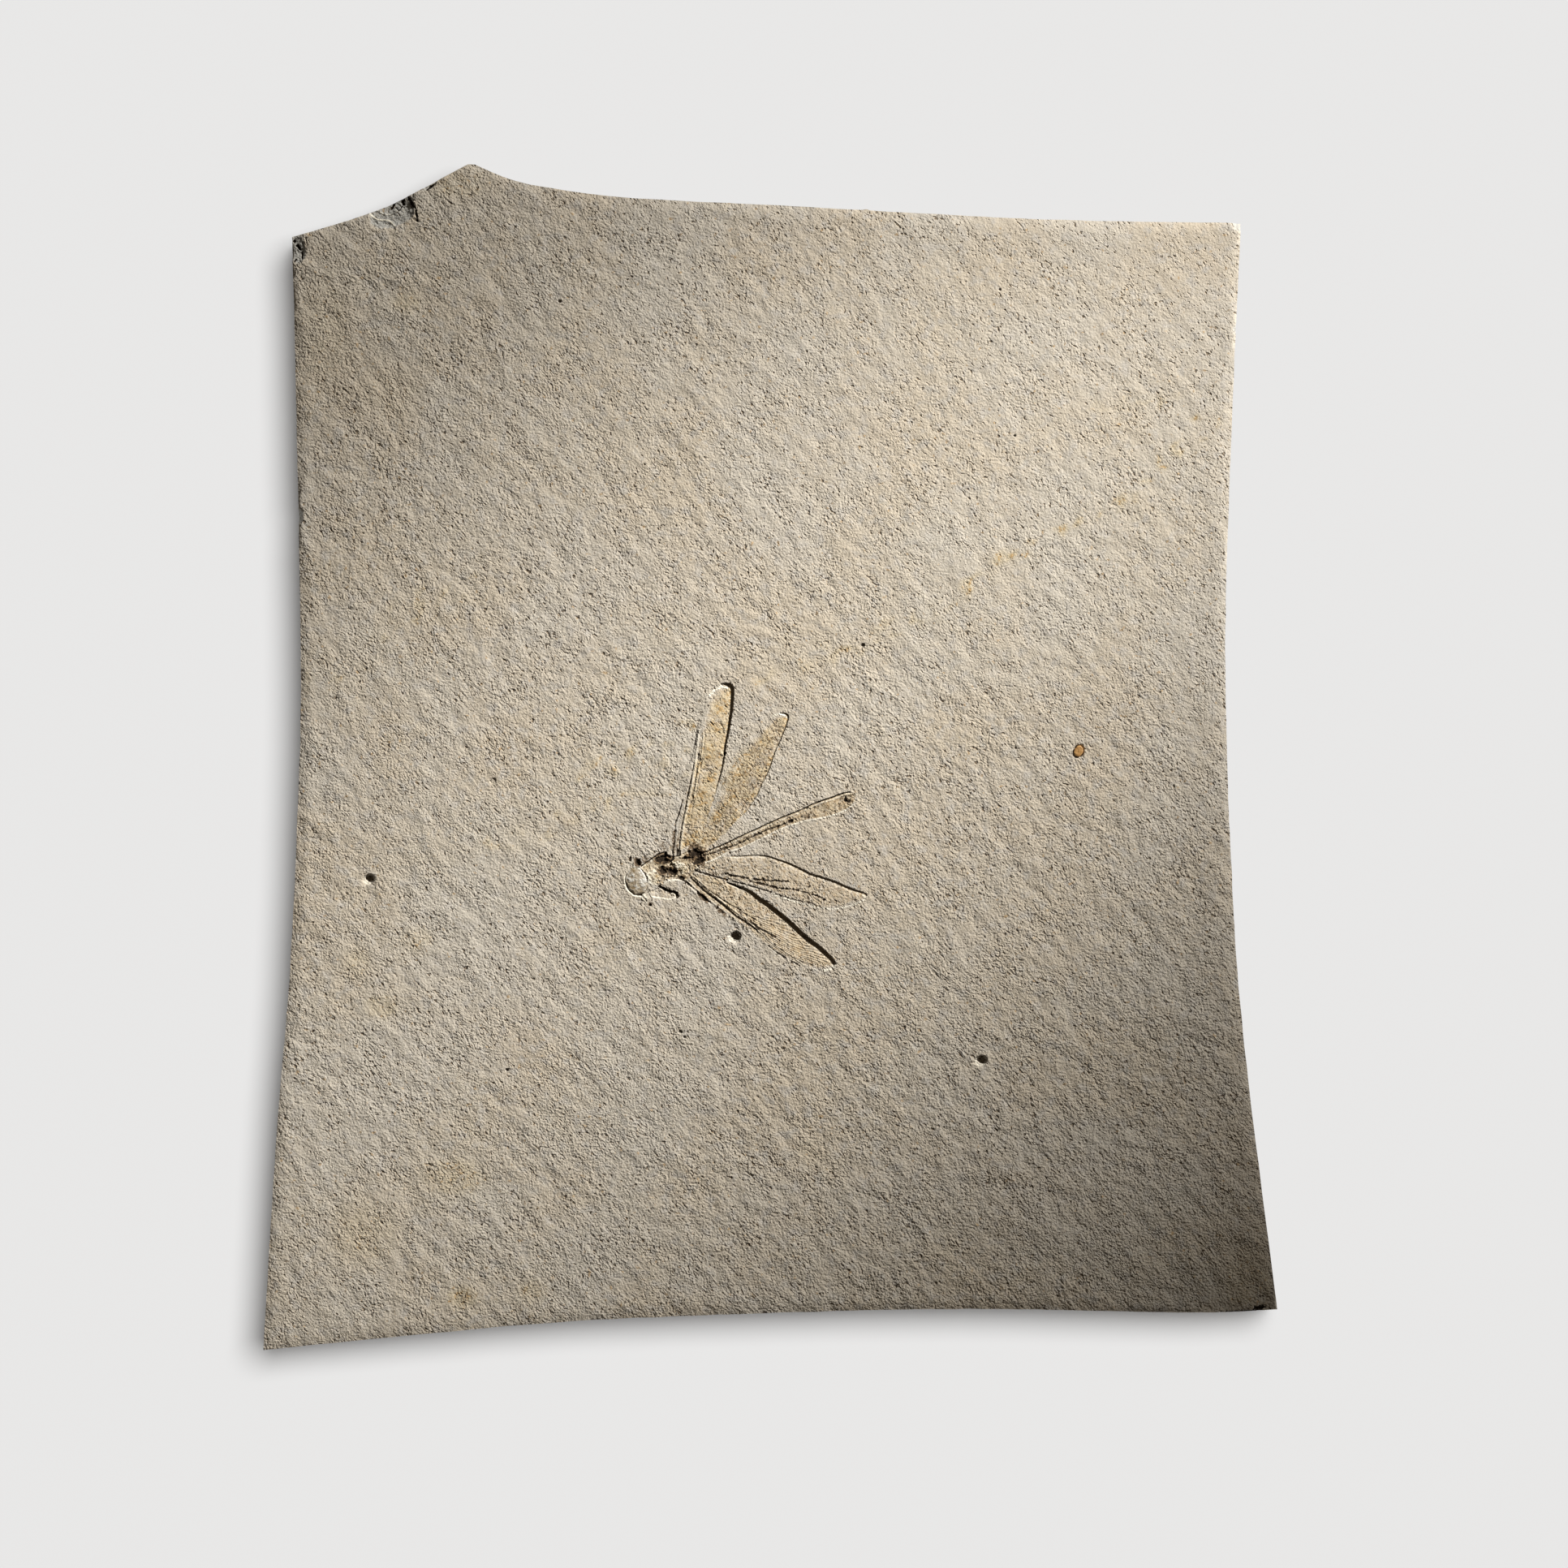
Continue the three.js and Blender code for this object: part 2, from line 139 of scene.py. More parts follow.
# ------------------------------------------------------------------ limestone slab: the imprint
# The dragonfly is pressed into the stone: four wings, a thin abdomen with a thicker end, a broken
# thorax and one leg. Each is a shallow hollow between an upper and a lower edge that meet at its
# tip. "lip" and "sill" are the steps down at those edges, as (share of the way to the tip, depth)
# pairs, and past the lip's shade the floor climbs back by "climb". "film", "iron" and
# "mould_and_shade" say how thickly each covers the floor, thinning out within "fade" of the
# lower edge, and "rough" how gritty the floor is.
HOLLOWS = {
    "left_fore_wing": {
        "upper": [(-14.7, -17.3), (-13.6, -13.4), (-12.9, -11.1), (-12.2, -9.2), (-11.5, -6.7),
                  (-10.8, -4.4), (-10.2, -2.3), (-9.8, 0.4), (-9.4, 3), (-8.8, 5.7), (-8.4, 8.3),
                  (-8, 10.6), (-7.9, 12.7), (-7.8, 14.5), (-8.1, 15.4), (-8.9, 16), (-9.9, 16.1)],
        "lower": [(-21.4, -21.7), (-20.8, -17.3), (-19.8, -12), (-18.6, -5.8), (-17.5, -1.4),
                  (-16.4, 3), (-15.2, 7.4), (-14.1, 11.3), (-13.3, 13.4), (-12, 15), (-11, 15.8),
                  (-9.9, 16.1)],
        "lip": [(0.31, 0.0), (0.37, 0.15), (0.45, 0.27), (0.66, 0.42), (0.85, 0.6), (1.0, 0.6)],
        "sill": [(0.85, 0.0), (0.93, 0.18), (1.0, 0.3)],
        "climb": 0.10, "film": 0.85, "fade": 2.4, "iron": 0.5, "mould_and_shade": 0.2, "rough": 0.02,
    },
    "left_hind_wing": {
        "upper": [(-14.3, -20.8), (-12.2, -18.7), (-9.9, -16.8), (-7.8, -14.5), (-5.7, -12.5),
                  (-4.8, -11.5), (-3.7, -9.9), (-2.7, -8.3), (-1.8, -6.2), (-0.7, -4.1),
                  (0.4, -1.4), (1.2, 1.1), (2.3, 3.5), (3.4, 6.2), (4.1, 8.5), (3.7, 9.3),
                  (2.5, 9.6)],
        "lower": [(-17.1, -20), (-16.1, -17.3), (-14.3, -13.8), (-12.2, -9.4), (-10.4, -6.4),
                  (-9, -3.7), (-7.6, -1.4), (-6, 1.1), (-4.1, 3.7), (-2.1, 5.8), (-0.5, 7.8),
                  (0.7, 9), (1.6, 9.5), (2.5, 9.6)],
        "lip": [(0.25, 0.0), (0.35, 0.12), (0.5, 0.2), (0.9, 0.25), (1.0, 0.25)],
        "sill": [(0.85, 0.0), (0.95, 0.12), (1.0, 0.2)],
        "climb": 0.18, "film": 0.8, "fade": 1.8, "iron": 0.45, "mould_and_shade": 0.33, "rough": 0.03,
    },
    "right_fore_wing": {
        "upper": [(-15.4, -24), (-13.1, -22.8), (-10.8, -22.1), (-9, -21.7), (-6, -21.6),
                  (-3.4, -21.4), (-0.7, -21.6), (1.6, -22.3), (3.7, -23), (6.4, -24.2),
                  (9, -25.5), (11.1, -26.1), (14.3, -27.2), (17.8, -28.7), (20.7, -29.7),
                  (21.2, -30.4)],
        "lower": [(-16.3, -24.9), (-14.3, -25.7), (-12.2, -26.4), (-9.5, -27), (-6.9, -27.7),
                  (-4.2, -28.4), (-1.6, -29.2), (1.1, -30.2), (3.7, -30.9), (6.4, -31.8),
                  (9, -32.5), (11.7, -33), (14.3, -33.1), (17, -32.6), (19.1, -31.8),
                  (20.5, -31.1), (21.2, -30.4)],
        "lip": [(0.15, 0.0), (0.2, 0.14), (0.4, 0.22), (0.55, 0.3), (0.9, 0.34), (1.0, 0.28)],
        "sill": [(0.0, 0.1), (0.3, 0.12), (0.6, 0.1), (1.0, 0.12)],
        "climb": 0.18, "film": 0.55, "fade": 1.0, "iron": 0.12, "mould_and_shade": 0.18, "rough": 0.04,
    },
    "right_hind_wing": {
        "upper": [(-17.5, -25.4), (-14.8, -25.8), (-12.2, -26.3), (-10.4, -26.9), (-9.4, -27.4),
                  (-7.8, -27.8), (-6, -28.4), (-4.2, -29.2), (-2.5, -30.4), (-0.7, -31.6),
                  (1.4, -33.2), (3.4, -34.8), (5.5, -36.7), (7.2, -38.3), (9, -39.8),
                  (10.8, -41.1), (12.2, -42.4), (13.6, -43.8), (14.5, -45.2)],
        "lower": [(-18.7, -27.2), (-17.1, -28.8), (-15.4, -30.4), (-13.4, -32), (-11.3, -33.4),
                  (-9.2, -34.8), (-6.9, -36.7), (-4.8, -38.3), (-2.5, -40.1), (-0.2, -41.7),
                  (1.9, -43.3), (4.6, -44.9), (7.2, -45.8), (9.5, -46.3), (11.7, -46.6),
                  (13.3, -46.3), (14.5, -45.2)],
        "lip": [(0.19, 0.0), (0.24, 0.18), (0.32, 0.42), (0.45, 0.62), (0.95, 0.62), (1.0, 0.5)],
        "sill": [(0.0, 0.1), (0.6, 0.08), (0.9, 0.15), (1.0, 0.25)],
        "climb": 0.10, "film": 0.75, "fade": 1.2, "iron": 0.2, "mould_and_shade": 0.18, "rough": 0.02,
    },
    "abdomen": {
        "upper": [(-15.4, -21.2), (-13.6, -20.4), (-12.2, -19.9), (-9.5, -18.7), (-6.5, -17.3),
                  (-3.4, -15.9), (0.2, -14.2), (3.2, -12.9), (6.4, -11.7), (9, -10.4),
                  (10.8, -9.6), (13.3, -8.8), (15.4, -8), (17.1, -7.7), (18.2, -8), (18.7, -8.8)],
        "lower": [(-16.1, -23.9), (-14, -23.1), (-12.2, -22.4), (-9.2, -20.9), (-6, -19.8),
                  (-3.4, -18.6), (-0.7, -17.3), (2.3, -15.8), (5.1, -14.8), (7.2, -14.1),
                  (9.9, -13.6), (12.5, -13.1), (15, -12.3), (17, -11.3), (18.2, -10.2),
                  (18.7, -8.8)],
        "lip": [(0.0, 0.14), (0.1, 0.2), (0.9, 0.26), (1.0, 0.05)],
        "sill": [(0.0, 0.14), (0.9, 0.16), (1.0, 0.05)],
        "climb": 0.10, "film": 0.8, "fade": 0.3, "iron": 0.25, "mould_and_shade": 0.32, "rough": 0.03,
    },
    "thorax": {
        "upper": [(-28.4, -24.2), (-27.2, -23.3), (-25.8, -22.3), (-24.4, -21.3), (-23.3, -20.8),
                  (-22.4, -21.2), (-21.2, -21.7), (-19.6, -21.4), (-18.2, -20.7), (-16.8, -20.3),
                  (-15.4, -20.7), (-14.1, -21.6)],
        "lower": [(-28.4, -24.2), (-27.4, -25.8), (-26.3, -27.6), (-25.3, -28.3), (-24, -28.1),
                  (-23.1, -27.6), (-21.9, -27), (-20, -26.9), (-18.2, -27.4), (-17, -26.3),
                  (-16.1, -25.1), (-14.8, -23.3), (-14.1, -21.6)],
        "lip": [(0.0, 0.05), (0.1, 0.16), (0.5, 0.2), (1.0, 0.15)],
        "sill": [(0.0, 0.0), (0.3, 0.05), (0.5, 0.18), (1.0, 0.1)],
        "climb": 0.05, "film": 0.8, "fade": 0.8, "iron": 0.3, "mould_and_shade": 0.25, "rough": 0.10,
    },
    "leg": {
        "upper": [(-26.7, -29.5), (-25.4, -29), (-24, -28.2), (-23.1, -28.7), (-22.1, -29.2),
                  (-21, -29.4), (-20.3, -29.9), (-20.1, -30.4)],
        "lower": [(-26.7, -29.5), (-26.3, -30.2), (-25.6, -30.6), (-24.4, -30.8), (-23.1, -31),
                  (-21.9, -31.1), (-20.8, -30.9), (-20.1, -30.4)],
        "lip": [(0.0, 0.05), (0.2, 0.2), (1.0, 0.22)],
        "sill": [(0.0, 0.05), (0.2, 0.15), (1.0, 0.18)],
        "climb": 0.04, "film": 0.35, "fade": 0.4, "iron": 0.0, "mould_and_shade": 0.0, "rough": 0.04,
    },
}
# Fine lines have their points, half width, depth, shade and beading, and spots their place, radii,
# turn in degrees, depth and shade. A depth below zero is raised. The shade is painted shadow or
# dark remains; below zero it is pale in place of dark, painted highlight or cream crust. Beading is
# how far a line breaks up into beads.
LINES = [
    # Wing veins: ribs painted pale as highlights, and the dotted grooves beside them painted dark,
    # as their shadow and dark remains. The pale crescents at the tips and the pale lower edges are
    # painted highlights too.
    ([(-19.6, -21.9), (-19.3, -18.2), (-18.7, -14.1), (-18, -11.1), (-17.5, -8.1), (-16.8, -4.6),
      (-16.3, -1.4), (-15.9, 2.5), (-15.4, 5.7)], 0.3, -0.14, -0.35, 0.1),
    ([(-16.6, -9.4), (-16.1, -5.8), (-15.5, -2.3), (-14.8, 1.2), (-14.5, 5.1)],
     0.25, -0.12, -0.3, 0.2),
    ([(-20, -21.7), (-19.6, -17.3), (-19.3, -15.2), (-18.7, -12.4), (-18.2, -9.4), (-17.8, -7.6),
      (-17.4, -5.8), (-17, -3.5), (-16.6, -1.4)], 0.15, 0.1, 0.72, 0.48),
    ([(-17.3, -10.6), (-17, -8.8), (-16.4, -6.4), (-16.1, -4.1), (-15.7, -0.5), (-15.4, 2.5)],
     0.15, 0.08, 0.62, 0.56),
    ([(-21, -20), (-20.8, -17.7), (-20.6, -14.7), (-20.1, -13.1), (-19.6, -11.5), (-19.1, -9.4)],
     0.22, 0.1, 0.7, 0.56),
    ([(-18.4, -19.5), (-17.6, -15.2), (-17, -12), (-16.2, -8.1), (-15.5, -4.6), (-14.9, -1),
      (-14.4, 2.5), (-14, 6)], 0.13, 0.07, 0.55, 0.5),
    ([(-17.2, -1.5), (-16.7, 1.5), (-16.1, 5), (-15.5, 8)], 0.13, 0.06, 0.55, 0.45),
    ([(-6.7, -3.4), (-5.7, -4.9)], 0.12, 0.06, 0.77, 0),
    ([(-5.7, -4.9), (-4.4, -6)], 0.1, 0.04, 0.51, 0.24),
    ([(-4.1, -5.7), (-3.7, -7.2)], 0.12, 0.06, 0.72, 0),
    ([(-7.8, -8), (-6.9, -9.4)], 0.14, 0.06, 0.83, 0),
    ([(-6, -9.4), (-4.9, -10.6)], 0.12, 0.06, 0.83, 0),
    ([(-11, -9.7), (-9.4, -11.5)], 0.11, 0.05, 0.72, 0),
    ([(0, 8.3), (0.9, 6.9)], 0.12, 0.05, 0.72, 0),
    ([(-13.1, 7.6), (-12.4, 6.9)], 0.15, 0.06, 0.83, 0),
    ([(-2.1, 5.7), (-1.8, 4.9)], 0.17, 0.06, 0.9, 0),
    ([(-16.3, -24.8), (-14.7, -25.4), (-12.2, -26.1), (-9.4, -26.9)], 0.25, 0.13, 0.9, 0.16),
    ([(-8.3, -27.2), (-6, -27.7), (-4.2, -28.2), (-1.9, -28.9), (0.2, -29.5)],
     0.2, 0.1, 0.88, 0.32),
    ([(-9.9, -25.3), (-8.8, -25.8), (-6.9, -26.1), (-5.5, -26.5), (-3.7, -26.7), (-1.2, -27),
      (1.9, -27.1), (3.9, -27.2)], 0.32, 0.13, 0.88, 0.66),
    ([(-4.8, -26.9), (-2.8, -27.6), (-0.7, -28), (1.4, -28.6), (3.4, -28.8), (6.2, -29.2)],
     0.36, 0.15, 0.92, 0.62),
    ([(6.2, -29.2), (9, -30), (11.7, -31.1), (12.9, -31.8)], 0.25, 0.1, 0.75, 0.66),
    ([(1.1, -30), (3.4, -30.6), (5.8, -31.3), (8.5, -31.8), (9.7, -32.2)], 0.25, 0.09, 0.75, 0.66),
    ([(-9.4, -27.4), (-7.8, -28.1), (-6.4, -28.7)], 0.25, 0.1, 0.9, 0.08),
    ([(-17.3, -26.4), (-16.1, -27.6), (-14.7, -29), (-12.5, -30.7), (-10.1, -32.5),
      (-9.2, -33.3), (-7.8, -34.5), (-6, -35.7), (-4.2, -36.9), (-3, -37.8)],
     0.25, 0.15, 0.9, 0.15),
    ([(-16.4, -26.3), (-14.3, -28.3), (-12.2, -30.2), (-9.5, -32.3), (-7.8, -33.6),
      (-5.1, -35.5), (-3, -37.5), (-0.7, -39.6), (1.9, -41.7), (4.6, -43.5), (6.7, -44.9)],
     0.2, -0.12, -0.4, 0),
    ([(-18.2, -27), (-15.7, -29.2), (-13.1, -31.4), (-10.4, -33.4)], 0.2, -0.1, -0.4, 0),
    ([(-15.4, -27.4), (-13.1, -29.3), (-10.8, -30.9), (-9.5, -31.8), (-7.2, -33), (-6.5, -33.6),
      (-4.8, -34.6), (-3, -35.7)], 0.18, 0.09, 0.85, 0.35),
    ([(-4.2, -36), (-2.5, -37.3), (-0.4, -38.5), (1.1, -39.3)], 0.22, 0.1, 0.9, 0.11),
    ([(-14.3, -27.2), (-11.3, -29), (-8.7, -30.6), (-6, -31.8)], 0.11, 0.04, 0.36, 0.4),
    ([(-6.6, -34.2), (-2.6, -37.6), (0.6, -40.6), (3.8, -43), (7.7, -45.2)], 0.15, 0.08, 0.7, 0.4),
    ([(-0.4, -41.2), (1.4, -42.6), (3.4, -44)], 0.22, 0.12, 0.9, 0.24),
    ([(4.6, -44.5), (6.4, -45.6)], 0.19, 0.1, 0.88, 0.24),
    ([(-13.3, 13.3), (-12.2, 14.3), (-11.3, 14.9), (-10.4, 15.1), (-9.5, 14.9)],
     0.28, -0.03, -0.95, 0),
    ([(0.7, 8.8), (1.9, 9.2), (3, 9), (3.7, 8.4)], 0.18, -0.03, -0.95, 0),
    ([(11.8, -46.6), (13.1, -46.4), (14.1, -45.8)], 0.3, -0.05, -0.95, 0),
    ([(1.1, -30.3), (6.4, -31.9), (11.7, -33.1), (14.3, -33.2), (17, -32.7), (19.1, -31.9),
      (20.5, -31.2)], 0.17, -0.05, -0.8, 0.2),
    # The abdomen: its two edges, and a beaded line down its middle. The upper edge is painted dark
    # as shadow with a pale highlight beneath, the lower edge pale as highlight, and the middle line
    # dark as shadow and dark remains.
    ([(-15.4, -21.3), (-13.6, -20.6), (-12.2, -20), (-9.5, -18.9), (-6.5, -17.4), (-3.4, -16),
      (0.2, -14.3), (3.2, -13), (6.4, -11.8), (9, -10.5), (10.8, -9.8), (13.3, -9), (15.4, -8.2),
      (17.3, -7.8)], 0.15, 0.12, 0.9, 0.13),
    ([(-12.2, -20.5), (-9.5, -19.4), (-6.5, -18), (-3.4, -16.6), (0.2, -14.9), (3.2, -13.6),
      (6.4, -12.3), (9, -11.1), (10.8, -10.3), (13.3, -9.5), (15.4, -8.7), (17.1, -8.3)],
     0.14, -0.06, -0.5, 0.4),
    ([(-14.3, -21.6), (-13.3, -21.2), (-11.7, -20.8), (-9.9, -20.1), (-7.8, -19.3),
      (-5.8, -18.4), (-4.1, -17.5), (-2.3, -16.7), (-0.2, -15.8), (1.8, -15.2), (3.4, -14.5),
      (4.6, -14)], 0.3, 0.12, 0.62, 0.5),
    ([(-16.1, -23.9), (-14, -23.1), (-12.2, -22.5), (-9.2, -21), (-6, -19.9), (-3.4, -18.6),
      (-0.7, -17.4), (2.3, -15.9), (5.1, -14.9), (7.2, -14.2), (9.9, -13.7), (12.5, -13.2),
      (15, -12.4), (17, -11.4), (18.2, -10.3)], 0.13, -0.04, -0.6, 0.1),
    # The thorax and the leg: dark lines painted as shadow and dark remains, pale ones as
    # highlights.
    ([(-28.1, -23.9), (-26.9, -23), (-25.6, -22.1), (-24.4, -21.3), (-23.1, -20.8)],
     0.17, 0.1, 0.99, 0),
    ([(-28.3, -24.2), (-26.9, -23.4), (-25.6, -22.5), (-24.4, -21.7), (-23.5, -21.4)],
     0.16, -0.06, -0.8, 0),
    ([(-23.3, -23.2), (-22.3, -23.1), (-21.2, -22.4)], 0.26, 0.15, 1, 0),
    ([(-21.2, -19.1), (-21.2, -20.8), (-21.2, -22.4)], 0.22, 0.1, 0.88, 0.5),
    ([(-20.2, -20.1), (-20.3, -21.7)], 0.18, 0.1, 1, 0),
    ([(-19.5, -20.5), (-19.6, -21.6)], 0.16, 0.08, 0.88, 0),
    ([(-23.1, -26.4), (-21.6, -26.2), (-20, -26.3)], 0.12, 0.05, 0.66, 0.1),
    ([(-20, -26.2), (-19.3, -26.7), (-18.4, -27.3), (-17.3, -28.2)], 0.3, 0.12, 0.83, 0.2),
    ([(-23.3, -27.7), (-21.9, -27.1), (-20, -26.9)], 0.22, -0.03, -0.7, 0),
    ([(-22.8, -24.4), (-21.9, -24.9), (-20.7, -25.7)], 0.38, 0.15, 0.77, 0.3),
    ([(-24, -28.3), (-23.1, -28.8), (-22.1, -29.3), (-21, -29.5), (-20.4, -29.9), (-20.2, -30.6)],
     0.38, 0.15, 1, 0),
    ([(-26, -30.5), (-24.9, -30.7), (-23.7, -30.9), (-22.3, -31.1), (-21.2, -30.9),
      (-20.5, -30.6)], 0.16, -0.03, -0.8, 0),
    ([(-26.7, -29.2), (-26.3, -30), (-25.8, -31)], 0.12, 0.08, 0.77, 0.1),
    ([(-28.6, -30.5), (-27.7, -31.1), (-26.9, -31.8)], 0.16, -0.05, -0.9, 0),
    # The two big flakes of the rim: cracks painted black as shadow, and ridges pale as highlights.
    ([(-81.6, 119.6), (-80.9, 118.9), (-80.2, 119.9)], 0.13, 0.2, 0.9, 0.2),
    ([(-83.2, 117.7), (-81.4, 118.4), (-80.6, 119.1)], 0.11, 0.2, 0.7, 0.3),
    ([(-101.2, 112.9), (-100.9, 111.8), (-100.9, 111.1)], 0.12, 0.2, 0.8, 0),
    ([(-87.6, 118.7), (-86.7, 117.7), (-85.7, 117), (-84.3, 116.8), (-82.9, 116.6),
      (-81.8, 115.5)], 0.2, -0.12, -0.8, 0),
    ([(-86, 119.3), (-85.2, 118.6), (-83.7, 118), (-82.2, 118)], 0.16, -0.1, -0.6, 0),
    ([(-81.4, 114.5), (-81.6, 113.8), (-80.9, 113.3), (-80, 113.8), (-79.9, 115), (-80.6, 115.5)],
     0.13, -0.05, -0.5, 0),
]
SPOTS = [
    # Thorax: black cores, partly mould and partly painted shadow, and cream crust.
    ((-23.4, -22.3), (1.6, 0.85), 10, 0.35, 1),
    ((-22.8, -21.4), (0.35, 0.8), 0, 0.25, 0.9),
    ((-23.6, -24.8), (0.75, 1.05), 10, 0.3, 0.75),
    ((-21.4, -25.0), (1.35, 0.7), -10, 0.3, 0.8),
    ((-23.4, -26.4), (0.6, 0.5), 0, 0.15, 0.5),
    ((-19.2, -26.4), (0.8, 0.35), -20, 0.15, 0.8),
    ((-18.2, -22.1), (1.5, 0.35), 3, 0.3, 0.9),
    ((-16.3, -21.1), (1.5, 1.2), 12, 0.3, 0.9),
    ((-15.5, -22.8), (1.3, 0.8), 25, 0.35, 1),
    ((-28.9, -23.0), (0.65, 0.9), 25, 0.4, 0.8),
    ((-30.5, -22.3), (0.28, 0.6), 0, 0.2, 0.7),
    ((-26.1, -32.4), (0.5, 0.35), -20, 0.4, 0.9),
    ((-19.4, -24.1), (1.7, 1.1), -25, -0.18, -0.6),
    ((-21.0, -23.1), (0.6, 0.4), -20, -0.35, -0.9),
    ((-25.9, -26.4), (1.7, 2.1), -12, -0.12, -0.5),
    ((-26.6, -26.6), (0.45, 1.1), 12, -0.15, -0.9),
    ((-29.7, -23.4), (0.22, 1.3), 0, -0.12, -0.8),
    ((-27.4, -30.6), (1.0, 0.7), -45, -0.15, -0.5),
    # Abdomen: dark beads and the notch in its thick end, painted as shadow and dark remains.
    ((4.5, -14), (0.64, 0.46), 35, 0.28, 1),
    ((-2.3, -16.7), (0.49, 0.35), 0, 0.15, 0.9),
    ((1.7, -15.2), (0.39, 0.28), 20, 0.1, 0.9),
    ((-9.9, -20.1), (0.42, 0.32), 0, 0.12, 0.9),
    ((7, -13.1), (0.53, 0.35), 0, 0.08, 0.55),
    ((8.4, -13.1), (0.35, 0.42), 0, 0.08, 0.6),
    ((9.7, -11), (0.42, 0.21), 0, 0.06, 0.6),
    ((16.4, -9.5), (0.4, 0.7), 0, 0.25, 0.8),
    ((16.9, -9.8), (0.65, 0.35), 15, 0.15, 0.7),
    ((17.8, -8.7), (0.53, 0.71), 0, 0.06, 0.45),
    # Wings: spots beside the ribs and along the costal edge, painted as the shadow of those ridges
    # and as dark remains.
    ((-15.6, 0.4), (0.23, 0.3), 0, 0.12, 1),
    ((-15.2, -0.7), (0.21, 0.44), 0, 0.06, 0.7),
    ((-17.1, 14.3), (0.32, 0.28), -40, 0.12, 0.95),
    ((-16.8, 9.8), (0.27, 0.23), -40, 0.1, 0.95),
    ((-19.9, 10.1), (0.35, 0.21), -40, 0.1, 0.9),
    ((-12.7, 7.2), (0.46, 0.18), -40, 0.06, 0.8),
    ((-9.9, 0.6), (0.35, 0.41), 0, 0.15, 1),
    ((8.5, -28.4), (0.32, 0.28), 0, 0.1, 0.95),
    ((11.7, -31.2), (0.35, 0.27), 0, 0.06, 0.7),
    ((14.3, -31.4), (0.44, 0.28), -45, 0.06, 0.65),
    ((-14.5, -30.7), (0.45, 1.86), 48, 0.22, 0.85),
    ((-10.4, -33.9), (0.46, 0.28), -20, 0.1, 0.55),
    ((-11.5, -32.9), (0.35, 0.44), 0, 0.08, 0.5),
    ((-8.7, -35.2), (0.46, 0.97), 45, 0.1, 0.5),
    ((-6.2, -36.9), (0.35, 0.71), 45, 0.08, 0.5),
    ((-1.6, -41.2), (0.35, 0.62), 0, 0.08, 0.45),
    ((3.2, -45), (0.46, 0.35), 0, 0.08, 0.5),
    # The lower right corner: black painted shadow along the edge.
    ((106.4, -120.0), (1.6, 0.6), 12, 0.5, 1),
    ((102.6, -120.9), (5.2, 0.42), 2, 0.6, 1),
    # The flakes of the rim: black painted shadow between their grey facets.
    ((-79.9, 120.7), (0.45, 1.1), 8, 0.5, 1),
    ((-82.1, 120.0), (0.95, 0.3), 62, 0.4, 1),
    ((-78.1, 120.6), (1.5, 0.45), -54, 0.6, 1),
    ((-77.0, 117.8), (1.8, 0.3), -80, 0.5, 1),
    ((-74.1, 123.8), (1.1, 0.3), 38, 0.4, 1),
    ((-102.6, 110.9), (1.15, 0.42), -58, 0.5, 1),
    ((-103.6, 112.2), (0.4, 0.45), 0, 0.4, 1),
    ((-101.9, 109.0), (1.0, 0.2), -88, 0.3, 1),
    ((-103.4, 107.9), (0.6, 0.22), 50, 0.3, 1),
]
# The sockets of the calcite in the head and of the limonite grain.
HEAD_PLACE = (-29.0, -27.2)
HEAD_RADII = (2.3, 2.9)
HEAD_TURN = 0.25
HEAD_DEPTH = 1.7
LIMONITE_PLACE = (67.1, 1.1)
LIMONITE_RADII = (1.0, 1.25)
LIMONITE_TURN = -0.35
LIMONITE_SEAT = 0.7


def nearest_on(line, spots):
    """Each spot's distance to a line, and how far along the line (0 to 1) its nearest point is."""
    starts = line[:-1]
    steps = np.diff(line, axis=0)
    lengths = np.hypot(*steps.T)
    offsets = spots[:, None] - starts
    shares = np.clip((offsets * steps).sum(2) / lengths**2, 0, 1)
    gaps = np.hypot(*np.moveaxis(offsets - shares[..., None] * steps, 2, 0))
    best = gaps.argmin(1)
    rows = np.arange(len(spots))
    run = np.concatenate(([0], np.cumsum(lengths)))
    return gaps[rows, best], (run[best] + shares[rows, best] * lengths[best]) / run[-1]


def round_about(line, reach, spots):
    """Indices of the spots in a box that reaches some way beyond a line."""
    within = (spots > line.min(0) - reach) & (spots < line.max(0) + reach)
    return np.flatnonzero(within.all(1))


def inside(loop, spots):
    """True for the spots inside a closed line."""
    ends = np.roll(loop, -1, axis=0)
    x = spots[:, :1]
    y = spots[:, 1:]
    straddles = (loop[:, 1] > y) != (ends[:, 1] > y)
    rise = np.where(ends[:, 1] == loop[:, 1], 1, ends[:, 1] - loop[:, 1])
    crossing = loop[:, 0] + (y - loop[:, 1]) / rise * (ends[:, 0] - loop[:, 0])
    return ((straddles & (x < crossing)).sum(1) % 2).astype(bool)


def ramp(values, low, high):
    """0 below low, 1 above high, and a smooth rise between."""
    t = np.clip((values - low) / (high - low), 0, 1)
    return t * t * (3 - 2 * t)


def rough(places, size, octaves=3, seed=0.0):
    """Fractal noise of about -1 to 1, with lumps of the given size in millimetres."""
    scaled = places / size + seed
    if scaled.shape[1] == 2:
        scaled = np.column_stack((scaled, np.full(len(scaled), seed)))
    return np.array([noise.fractal(Vector(spot), 1.0, 2.0, octaves) for spot in scaled])


def turned(spots, middle, turn, radii):
    """Distance from a middle, in radii of an ellipse that is turned by an angle."""
    offset = spots - middle
    cosine, sine = math.cos(turn), math.sin(turn)
    u = (offset[:, 0] * cosine + offset[:, 1] * sine) / radii[0]
    v = (offset[:, 1] * cosine - offset[:, 0] * sine) / radii[1]
    return np.hypot(u, v)


